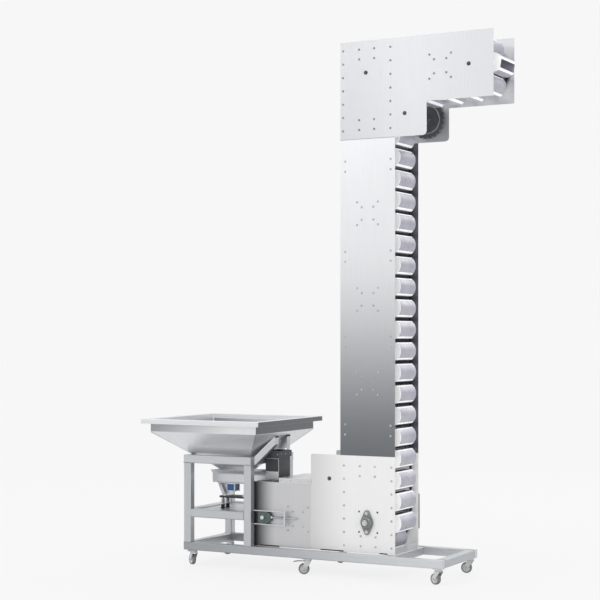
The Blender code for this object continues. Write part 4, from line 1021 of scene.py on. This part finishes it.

# Where a strut bears on the hopper: a light cap in the tube's mouth, and over it a black block in the rubber
# look, painted shade for the tube's dark open end
strutCap = {
    "front": 0.115, "rear": 0.295, "half": 0.0245, "high": 0.0645, "pad": 0.015, "out": 0.003, "in": 0.001,
}
capShapes, mouthShadeShapes = [], []
for side in ("front", "rear"):
    x, _, z = nodeBox(f"hopper_strut_{side}")[1]
    y, half, out = strutCap[side], strutCap["half"], strutCap["out"]
    x -= strutCap["in"]
    capShapes.append(roundBox((x, y - half, z - strutCap["high"]), (x + out, y + half, z - 0.004)))
    half += 0.001
    low, high = (x, y - half, z - strutCap["pad"]), (x + strutCap["in"] + out, y + half, z - 0.002)
    mouthShadeShapes.append(roundBox(low, high, 0.0012))
makePiece("strut_caps", capShapes, "zinc")
# Painted shade: the black block stands for the tube's dark open end
makePiece("strut_mouth_shade", mouthShadeShapes, "rubber")

print("stage: hopper")

# Hopper: one closed sheet round level rounded rectangles, from the outlet's foot up the slope and the skirt,
# over the folded rim, and back down inside
hopper = {
    "rimX": (-1.517, -0.509), "rimY": (-0.299, 0.709), "top": 1.099, "rimFoot": 1.064, "rim": 0.050,
    "skirtFoot": 1.005, "outletX": (-1.100, -0.847), "outletY": (0.140, 0.270), "outletZ": 0.712,
    "sheet": 0.003, "bead": 0.0030, "mitre": 0.0016,
}


# Each row is the rectangle's name, its level, its distance inside that rectangle, and its corners' radius
def hopperRings():
    t, top, rim = hopper["sheet"], hopper["top"], hopper["rim"]
    foot, skirt, outlet = hopper["rimFoot"], hopper["skirtFoot"], hopper["outletZ"]
    rows = (
        ("outlet", outlet, 0, 0.008), ("rim", skirt - 0.002, rim + 0.0015, 0.012),
        ("rim", skirt + 0.003, rim, 0.012), ("rim", top - t, rim, 0.012), ("rim", top - t, t, 0.005),
        ("rim", foot, t, 0.005), ("rim", foot, 0, 0.006), ("rim", top - 0.002, 0, 0.006),
        ("rim", top - 0.0006, 0.0006, 0.006), ("rim", top, 0.002, 0.006),
        ("rim", top, rim + t - 0.003, 0.012), ("rim", top - 0.001, rim + t - 0.001, 0.012),
        ("rim", top - 0.003, rim + t, 0.012), ("rim", skirt + 0.004, rim + t, 0.012),
        ("rim", skirt, rim + t + 0.002, 0.012), ("outlet", outlet, t, 0.006),
    )
    rings = []
    for kind, z, inward, corner in rows:
        (x0, x1), (y0, y1) = hopper[kind + "X"], hopper[kind + "Y"]
        outline = roundRectangle((x1 - x0) / 2 - inward, (y1 - y0) / 2 - inward, corner)
        rings.append(atPlace(outline + ((x0 + x1) / 2, (y0 + y1) / 2), z, "Z"))
    return np.stack(rings)


# A place inside corner (a, b) of one of those rectangles
def hopperCorner(kind, a, b, inward, z):
    return hopper[kind + "X"][a] + (1 - 2 * a) * inward, hopper[kind + "Y"][b] + (1 - 2 * b) * inward, z


shell = surface(hopperRings(), closeRows=True, closeColumns=True)
makePiece("hopper_shell", [shell], "hopperSheet", replaced=("hopper_bin",))
seams = []
for a, b in product((0, 1), (0, 1)):
    foot = hopperCorner("outlet", a, b, 0.0025, hopper["outletZ"] + 0.004)
    head = hopperCorner("rim", a, b, hopper["rim"] + 0.0035, hopper["skirtFoot"] - 0.003)
    mitre = [hopperCorner("rim", a, b, inward, hopper["top"] - 0.0012) for inward in (0.004, hopper["rim"])]
    seams += [bead([foot, head], hopper["bead"]), bead(mitre, hopper["mitre"])]
makePiece("hopper_welds", seams, "bolt")

print("stage: feeder")

# Feeder: the trough's section is a channel with flared lips, closed by a sheet at its left end; below it are
# leaf springs and a coil, on a slab that stands on coil springs and rubber feet
feeder = {
    "troughX": (-1.150, -0.6626), "troughY": (0.130, 0.280), "foot": 0.609, "top": 0.678, "lip": 0.026,
    "sheet": 0.003, "bend": 0.010, "springY": (0.158, 0.252), "springIn": 0.016, "springLean": 0.046,
    "leaf": 0.0011, "leafStep": 0.0026, "coilInset": (0.007, 0.004, 0.007), "yoke": 0.007, "cheek": 0.010,
    "slab": 0.016, "footIn": 0.020, "footHigh": 0.030, "footRadius": 0.018, "stem": 0.006,
    "helix": 0.0135, "wire": 0.0019, "turns": 6,
}
low, high, lip = feeder["foot"], feeder["top"], feeder["lip"]
front, rear = feeder["troughY"]
section = softLine([
    (front - lip, high + lip), (front, high), (front, low), (rear, low), (rear, high),
    (rear + lip, high + lip),
], feeder["bend"])
left, right = feeder["troughX"]
endLines = ((lip - 0.001, high + lip - 0.001), (-0.001, high), (-0.001, low + 0.006), (-0.006, low + 0.001))
endSheets = [
    surface([[(x, front - out, z), (x, rear + out, z)] for out, z in endLines])
    for x in (left, left + feeder["sheet"])
]
trough = sheetBar(section, beside(section, feeder["sheet"]), left, right)
makePiece("trough_sheet", [trough, *endSheets], "sheet", replaced=("feeder_trough",))

# Two layers of leaf at each end, leaning inwards as they go down, and bolts through their clamps
bracketLow, bracketHigh = nodeBox("feeder_bracket")
lean = feeder["springLean"]
fixings = []
for inward, x in ((1, bracketLow[0]), (-1, bracketHigh[0])):
    for share in (0.16, 0.84):
        boltX = x + inward * (feeder["springIn"] + lean * share)
        z = bracketHigh[2] - share * (bracketHigh[2] - bracketLow[2])
        for toward, y in (("-Y", bracketLow[1]), ("+Y", bracketHigh[1])):
            fixings.append(turned(hexHead("leafBolt", toward), shift=(boltX, y, z)))
    for layer in range(2):
        out = 0.0004 + layer * feeder["leafStep"]
        top = np.array((x - inward * out, bracketHigh[2] - 0.004))
        foot = np.array((x + inward * (lean - out), bracketLow[2] + 0.004))
        along = (foot - top) / np.linalg.norm(foot - top)
        wide = np.array((along[1], -along[0])) * feeder["leaf"]
        leaf = [top - wide, foot - wide, foot + wide, top + wide]
        fixings.append(prism(leaf, *feeder["springY"], 0.0003, "Y", 1))
makePiece("feeder_springs", fixings, "bolt")

# The coil: a moulded body between two steel cheeks, each of four bars, and plates over and under it
coilLow, coilHigh = nodeBox("feeder_magnet")
body = roundBox(coilLow + feeder["coilInset"], coilHigh - feeder["coilInset"], 0.006, 4)
makePiece("coil_body", [body], "coil", replaced=("feeder_magnet",))
yoke, cheek = feeder["yoke"], feeder["cheek"]
(x0, y0, z0), (x1, y1, z1) = coilLow, coilHigh
bars = []
for near, far in ((y0, y0 + cheek), (y1 - cheek, y1)):
    bars += [((x0, near, z0), (x1, far, z0 + yoke)), ((x0, near, z1 - yoke), (x1, far, z1))]
    bars += [((x0, near, z0), (x0 + yoke, far, z1)), ((x1 - yoke, near, z0), (x1, far, z1))]
for low, high in ((z1 - yoke, z1 - 0.001), (z0 + 0.001, z0 + yoke)):
    bars.append(((x0, y0 + 0.006, low), (x1, y1 - 0.006, high)))
makePiece("coil_core", [roundBox(*bar) for bar in bars], "machined")

baseLow, baseHigh = nodeBox("feeder_base")
slab = roundBox((baseLow[0], bracketLow[1], baseHigh[2] - feeder["slab"]), baseHigh, 0.004, 3)
makePiece("feeder_slab", [slab], "dark", replaced=("feeder_base",))
r, h, stem = feeder["footRadius"], feeder["footHigh"], feeder["stem"]
footProfile = [
    (0, 0), (r - 0.001, 0), (r, 0.001), (r, 0.005), (r - 0.004, 0.010), (r - 0.005, 0.015),
    (r - 0.003, 0.021), (r - 0.002, h - 0.002), (r - 0.004, h), (0, h),
]
footIn = feeder["footIn"]
footX = (baseLow[0] + footIn, baseHigh[0] - footIn)
footY = (bracketLow[1] + footIn, bracketHigh[1] - footIn)
feetSpots = [(x, y, baseLow[2]) for x, y in product(footX, footY)]
makePiece("feeder_feet", [copies(lathe(footProfile), feetSpots)], "rubber")

# A spring round each stem, between the nuts: a helix, x = r cos t, y = r sin t, z in step with t
stemHigh = baseHigh[2] - feeder["slab"] + 0.001 - baseLow[2]
t = np.linspace(0, 2 * np.pi * feeder["turns"], 96)
rise = np.linspace(h + 0.010, stemHigh - 0.010, 96)
springPath = np.column_stack((feeder["helix"] * np.cos(t), feeder["helix"] * np.sin(t), rise))
springs = copies(sweep(springPath, feeder["wire"]), feetSpots)
makePiece("feeder_coil_springs", [springs], "bolt")
stemParts = joined([
    lathe(rod(stem, h - 0.001, stemHigh), sides=12), turned(hexHead("footNut", "+Z"), shift=(0, 0, h)),
    turned(hexHead("slabNut", "-Z"), shift=(0, 0, stemHigh - 0.0005)),
])
makePiece("feeder_stems", [copies(stemParts, feetSpots)], "bolt")

print("stage: chute and cover")

# The chute's light lower panel with a thin frame above it, and screws round the band and the foot flange
chute = {
    "in": 0.009, "front": 0.118, "rear": 0.292, "proud": 0.0018, "sunk": 0.0002, "panel": 0.30,
    "frame": 0.73, "bar": 0.0035, "bandDown": 0.024, "screwIn": 0.016, "screw": 0.62,
    "endY": (0.140, 0.205, 0.270), "flangeY": (0.030, 0.075, 0.335, 0.380),
}
chuteLow, chuteHigh = nodeBox("inlet_chute")
left, right, bar = chuteLow[0] + chute["in"], chuteHigh[0] - chute["in"], chute["bar"]
foot, tall = chuteLow[2], chuteHigh[2] - chuteLow[2]
panelTop, frameTop = foot + chute["panel"] * tall, foot + chute["frame"] * tall
panels = []
for x0, z0, x1, z1 in (
    (left + 0.002, foot + 0.004, right - 0.001, panelTop),
    (right - bar, panelTop, right - 0.0004, frameTop),
    (left + 0.002, frameTop, right - 0.0004, frameTop + bar),
):
    low, high = (x0, chute["front"] - chute["proud"], z0), (x1, chute["front"] + chute["sunk"], z1)
    panels.append(roundBox(low, high, 0.0006, 1))
makePiece("chute_panel", panels, "zinc")
bandZ = chuteHigh[2] - chute["bandDown"]
screwX = (chuteLow[0] + chute["screwIn"], chuteHigh[0] - chute["screwIn"])
screwSpots = {
    "-Y": [(x, chute["front"] - chute["in"], bandZ) for x in screwX],
    "+Y": [(x, chute["rear"] + chute["in"], bandZ) for x in screwX],
    "+X": [(chuteHigh[0], y, bandZ) for y in chute["endY"]],
    "+Z": [(x, y, foot + 0.003) for x, y in product(screwX, chute["flangeY"])],
}
chuteScrews = [copies(buttonHead(toward, chute["screw"]), spots) for toward, spots in screwSpots.items()]
makePiece("chute_screws", chuteScrews, "bolt")

# Screws along the cover's two skirts
cover = {"in": 0.020, "up": 0.017, "screws": 4, "screw": 0.62}
coverLow, coverHigh = nodeBox("arm_cover")
coverX = np.linspace(coverLow[0] + cover["in"], coverHigh[0] - cover["in"], cover["screws"])
coverScrews = [
    copies(buttonHead(toward, cover["screw"]), [(x, y, coverLow[2] + cover["up"]) for x in coverX])
    for toward, y in (("-Y", coverLow[1]), ("+Y", coverHigh[1]))
]
makePiece("cover_screws", coverScrews, "bolt")

print("stage: take-up units")

# Take-up: a cast block, square at its tail and narrow at its tip, with a raised boss round the shaft and a
# rib to the tip; it sits on a threaded rod held by nuts
takeup = {
    "tail": 0.04536, "shoulder": 0.0324, "tip": 0.06264, "nose": 0.014, "bend": 0.014, "gap": 0.007,
    "boss": 0.031, "bossOut": 0.006, "bore": 0.0155, "seat": 0.0205, "rib": 0.004, "rod": 0.0068,
    "ridge": 0.0009, "pitch": 0.0026, "screwIn": 0.023, "screwZ": 0.034, "screw": 0.7,
}
nipple = [(0, 0), (0.004, 0), (0.004, 0.003), (0.0025, 0.004), (0.003, 0.006), (0.0015, 0.008), (0, 0.008)]
x, z, _, _ = loop["wheels"]["takeup_wheels"]
for side, sign in (("front", -1), ("rear", 1)):
    blockLow, blockHigh = nodeBox(f"takeup_block_{side}")
    frameLow, frameHigh = nodeBox(f"takeup_frame_{side}")
    near, far = (blockHigh[1], blockLow[1]) if sign < 0 else (blockLow[1], blockHigh[1])
    half, nose = (frameHigh[2] - frameLow[2]) / 2 - takeup["gap"], takeup["nose"]
    tail, shoulder, tip = x - takeup["tail"], x + takeup["shoulder"], x + takeup["tip"]
    start = (tail + 0.020, z - half)
    outline = softLine([
        start, (shoulder, z - half), (tip, z - nose), (tip, z + nose), (shoulder, z + half),
        (tail, z + half), (tail, z - half), start,
    ], takeup["bend"])[:-1]
    out, boss, bore, seat = (takeup[key] for key in ("bossOut", "boss", "bore", "seat"))
    flat = far - sign * out  # the face that boss and rib stand on
    bossProfile = [
        (bore, 0), (boss, 0), (boss - 0.0015, out - 0.001), (boss - 0.004, out), (seat + 0.0015, out),
        (seat, out - 0.0015), (bore, out - 0.0015),
    ]
    ribLow, ribHigh = sorted((flat, flat + sign * takeup["rib"]))
    casting = [
        prism(outline, *sorted((near, flat)), 0.0025, "Y", 3),
        lathe([(r, flat + sign * h) for r, h in bossProfile], (x, 0, z), "Y", 36),
        roundBox((x + 0.030, ribLow, z - 0.004), (tip - 0.004, ribHigh, z + 0.004), 0.0015),
    ]
    block = f"takeup_block_{side}"
    makePiece(f"takeup_casting_{side}", casting, "castGreen", replaced=(block,))
    rodY, rodLeft, rodRight = (near + far) / 2, tip - 0.007, blockHigh[0]
    ridges = np.arange(rodLeft, rodRight - 0.003, takeup["pitch"] / 2)
    threads = [(takeup["rod"] - takeup["ridge"] * (n % 2), place) for n, place in enumerate(ridges)]
    rodNut, backNut = hexHead("rodNut", "+X"), hexHead("rodNut", "-X", 0.1)
    rodParts = [
        lathe([(0, rodLeft), *threads, (0.0050, rodRight), (0, rodRight)], (0, rodY, z), "X", 12),
        turned(backNut, shift=(frameHigh[0] - 0.0105, rodY, z)),
        *[turned(rodNut, shift=(place, rodY, z)) for place in (frameHigh[0], tip)],
        turned(lathe(nipple, sides=10), shift=(x - 0.012, rodY, z + half - 0.001)),
    ]
    makePiece(f"takeup_rod_{side}", rodParts, "bolt")
    screwY = frameLow[1] + takeup["screwIn"]
    screwSpots = [(frameHigh[0], screwY, z + s * takeup["screwZ"]) for s in (-1, 1)]
    frameScrews = copies(buttonHead("+X", takeup["screw"]), screwSpots)
    makePiece(f"takeup_frame_screws_{side}", [frameScrews], "bolt")

print("stage: drive")

# Flange bearing: an oval flange, a dome with a steel ring inside it, two bolts, a grease nipple. The outline
# of the flange is the hull of three circles: in each direction, the point of the circle that reaches
# furthest.
bearing = {
    "wide": 0.049, "tall": 0.088, "ear": 0.021, "flange": 0.013, "gap": 0.0003, "dome": 0.043,
    "depth": 0.036, "bolt": 0.066, "nippleX": 0.026, "nippleZ": 0.024,
}
x, z, _, _ = loop["wheels"]["drive_wheels"]
angle = np.linspace(0, 2 * np.pi, 60, endpoint=False)
directions = np.stack((np.cos(angle), np.sin(angle)), -1)
ear, tall = bearing["ear"], bearing["tall"]
circles = np.array(((0, bearing["wide"]), (tall - ear, ear), (ear - tall, ear)))  # offset along z, radius
furthest = np.argmax([directions[:, 1] * offset + radius for offset, radius in circles], 0)
offsets, radii = circles[furthest].T
flangeOutline = directions * radii[:, None] + np.stack((np.full(60, x), z + offsets), -1)
flangeFace, deep, dome = -bearing["flange"] - bearing["gap"], bearing["depth"], bearing["dome"]
domeProfile = [
    (dome, -bearing["flange"] + 0.001), (dome, -0.020), (dome - 0.001, -0.026), (dome - 0.005, -0.031),
    (dome - 0.010, -deep + 0.001), (dome - 0.012, -deep), (0.0265, -deep), (0.0255, -deep + 0.001),
    (0.0255, -deep + 0.006), (0.0155, -deep + 0.006),
]
housing = [
    prism(flangeOutline, flangeFace, -bearing["gap"], 0.0025, "Y", 3),
    lathe(domeProfile, (x, 0, z), "Y", 48),
]
makePiece("bearing_housing", housing, "castDark", replaced=("drive_bearing",))
ringProfile = [
    (0.0155, 0.006), (0.0155, -0.006), (0.0165, -0.007), (0.0205, -0.007), (0.0215, -0.006), (0.0215, 0.006),
]
nipple = [(0, 0), (0.0045, 0), (0.0045, 0.003), (0.003, 0.004), (0.0035, 0.007), (0.002, 0.009), (0, 0.009)]
nippleSpot = (x + bearing["nippleX"], -deep + 0.004, z + bearing["nippleZ"])
fittings = [
    lathe([(r, h - deep) for r, h in ringProfile], (x, 0, z), "Y", 36),
    copies(hexHead("bearingBolt", "-Y"), [(x, flangeFace, z + s * bearing["bolt"]) for s in (-1, 1)]),
    turned(facing(lathe(nipple, sides=12), "-Y"), shift=nippleSpot),
]
makePiece("bearing_fittings", fittings, "machined")

# Gearmotor: a gearbox with a bolted cover and a boss, and an upright motor with cooling fins and a fan cowl
gear = {
    "half": 0.065, "y": (0.4103, 0.5303), "z": (0.318, 0.448), "round": 0.012, "cover": 0.004,
    "coverHalf": 0.056, "coverRound": 0.010, "boss": 0.034, "bolt": 0.047,
}
motor = {"x": 0.285, "y": 0.5933, "fins": 32, "tips": 0.0675, "finDeep": 0.0055, "sharp": 2.5, "cowl": 0.060}
gearX, gearZ, boss = x, sum(gear["z"]) / 2, gear["boss"]
front, rear = gear["y"]
outline = roundRectangle(gear["coverHalf"], gear["coverHalf"], gear["coverRound"]) + (gearX, gearZ)
low = (gearX - gear["half"], front, gear["z"][0])
high = (gearX + gear["half"], rear - gear["cover"], gear["z"][1])
gearShapes = [
    roundBox(low, high, gear["round"], 4),
    prism(outline, rear - gear["cover"] - 0.001, rear, 0.0012),
    lathe([
        (0, rear - 0.002), (boss, rear - 0.002), (boss, rear + 0.005), (boss - 0.002, rear + 0.007),
        (0.014, rear + 0.007), (0, rear + 0.004),
    ], (gearX, 0, gearZ), "Y", 32),
]
motorLow, motorHigh = (corner[2] for corner in nodeBox("gearmotor"))
angle = np.linspace(0, 2 * np.pi, motor["fins"] * 6, endpoint=False)
comb = np.clip(np.sin(angle * motor["fins"]) * motor["sharp"], -1, 1)
fins = motor["tips"] - motor["finDeep"] * (0.5 + 0.5 * comb)
footRows = ((0, 0), (0, 0.055), (0.004, 0.060), (0.014, 0.060), (0.014, fins))
topRows = (
    (-motor["cowl"], fins), (-motor["cowl"], 0.0678), (-0.012, 0.0678), (-0.003, 0.0620), (0, 0.0560),
    (0, 0.046), (-0.003, 0.044), (-0.003, 0.036), (0, 0.034), (0, 0.026), (-0.003, 0.024), (-0.003, 0.016),
    (0, 0.014), (0, 0),
)
circle, middle = np.stack((np.cos(angle), np.sin(angle))), (motor["x"], motor["y"])
rings = [
    atPlace((circle * reach).T + middle, base + up, "Z")
    for base, rows in ((motorLow, footRows), (motorHigh, topRows)) for up, reach in rows
]
gearShapes.append(surface(np.stack(rings), closeColumns=True))
makePiece("drive_motor", gearShapes, "motor", replaced=("gearmotor",))
boltSpots = [(gearX + a, rear, gearZ + b) for a, b in cross(0, 0, (gear["bolt"], gear["bolt"]))]
makePiece("drive_bolts", [copies(hexHead("gearBolt", "+Y"), boltSpots)], "bolt")

print("stage: casters")

# Casters: a pressed fork under a round ball race, a solid tyre on a moulded wheel, and on four of them a
# pedal. Each place is x, y and the turn of its trail in degrees.
caster = {
    "radius": 0.040, "tread": 0.028, "trail": 0.028, "axleZ": 0.040, "axle": 0.0045, "legInner": 0.019,
    "fork": 0.003, "half": 0.022, "crown": (0.0937, 0.0977), "plateZ": 0.109, "pedalZ": 0.0957,
    "pedalWide": 0.026, "pedalReach": 0.105, "screwX": 0.029, "screwY": 0.021, "screw": 0.62,
}
casterSpots = {
    "front_left": (-1.204, -0.050, 145), "front_middle": (-0.236, -0.050, 205),
    "front_right": (0.784, -0.050, 160), "rear_left": (-1.240, 0.550, 180),
    "rear_middle": (-0.249, 0.550, 168), "rear_right": (0.778, 0.550, 188),
}
trail, axleZ, outer = caster["trail"], caster["axleZ"], caster["legInner"] + caster["fork"]


def forkShapes():
    half, (low, top) = caster["half"], caster["crown"]
    leg = softLine([
        (0.0, top - 0.001), (-half, top - 0.001), (-half, top - 0.010), (trail - 0.012, axleZ - 0.006),
        (trail, axleZ - 0.0125), (trail + 0.012, axleZ - 0.006), (trail + 0.012, axleZ + 0.004),
        (half, top - 0.001), (0.0, top - 0.001),
    ], 0.006)[:-1]
    legs = [prism(leg, y, y + caster["fork"], 0.0008) for y in (-outer, caster["legInner"])]
    race = [
        (0.0, 0.0960), (0.0250, 0.0965), (0.0260, 0.0980), (0.0260, 0.1003), (0.0240, 0.1016),
        (0.0240, 0.1026), (0.0256, 0.1040), (0.0256, 0.1072), (0.0240, 0.1086), (0.0, 0.1086),
    ]
    return [*legs, prism(roundRectangle(half, outer, 0.007), low, top, 0.0012, "Z"), lathe(race, sides=36)]


def axleShapes():
    return [
        lathe(rod(caster["axle"], -outer - 0.002, outer + 0.002), (trail, 0, axleZ), "Y", 16),
        turned(hexHead("axleHead", "-Y"), shift=(trail, -outer, axleZ)),
        turned(hexHead("axleNut", "+Y"), shift=(trail, outer, axleZ)),
    ]


# The near halves of the two sections, each closed into a ring with its mirror image
def wheelShapes():
    r, half = caster["radius"], caster["tread"] / 2
    tread = [
        (0.0290, -half + 0.002), (0.0330, -half), (0.0370, -half + 0.0005), (0.0390, -half + 0.004),
        (r - 0.0001, -0.005),
    ]
    web = [
        (0.0057, -0.0172), (0.0105, -0.0172), (0.0118, -0.0160), (0.0125, -0.0095), (0.0150, -0.0078),
        (0.0225, -0.0078), (0.0255, -0.0105), (0.0292, -0.0112),
    ]
    centre = (trail, 0, axleZ)
    tyre = lathe([*tread, (r, 0), *mirror(tread)], centre, "Y", 48, True)
    return tyre, lathe([*web, *mirror(web)], centre, "Y", 36, True)


# A flat paddle that widens and dips towards its end, with two ribs across it
def pedalShapes():
    wide, reach, z = caster["pedalWide"] / 2, caster["pedalReach"], caster["pedalZ"]
    ring = roundRectangle(1.0, 0.0016, 0.0012, 2)
    rows = []
    for x, down, grow in (
        (caster["half"] - 0.003, 0, 0.72), (0.045, 0, 0.86), (0.0735, 0, 1.0), (0.090, 0.002, 1.0),
        (reach - 0.004, 0.0045, 0.92), (reach, 0.0052, 0.62),
    ):
        rows.append(atPlace(ring * (wide * grow, 1) + (0, z - down), x, "X"))
    first, last = (np.broadcast_to(row.mean(0), row.shape) for row in (rows[0], rows[-1]))
    half = wide * 0.7
    ribs = [roundBox((x, -half, z - 0.004), (x + 0.003, half, z + 0.002)) for x in (0.080, 0.087)]
    return [surface(np.stack([first, *rows, last]), closeColumns=True), *ribs]


tyre, disc = wheelShapes()
casterPieces = {
    "fork_pressing": (forkShapes(), "zinc", "zinc", "fork"),
    "axle_bolt": (axleShapes(), "bolt", "zinc", "fork"),
    "brake_pedal": (pedalShapes(), "pedal", "zinc", "fork"),
    "tyre": ([tyre], "tyre", "tyre_grey", "wheel"),
    "wheel_disc": ([disc], "hubGrey", "tyre_grey", "wheel"),
}
casterNodes = {"fork_pressing": "caster_fork", "tyre": "caster_wheel"}  # the nodes that these pieces replace
for place, (x, y, turn) in casterSpots.items():
    for kind, (shapes, look, slot, body) in casterPieces.items():
        if kind == "brake_pedal" and place.endswith("right"):
            continue
        placed = [turned(shape, z=turn, shift=(x, y, 0)) for shape in shapes]
        replaced = [f"{casterNodes[kind]}_{place}"] if kind in casterNodes else ()
        makePiece(f"{kind}_{place}", placed, look, f"{body}_{place}", replaced)
    spots = [(a, b, caster["plateZ"]) for a, b in cross(x, y, (caster["screwX"], caster["screwY"]))]
    makePiece(f"caster_bolts_{place}", [copies(buttonHead("-Z", caster["screw"]), spots)], "bolt")
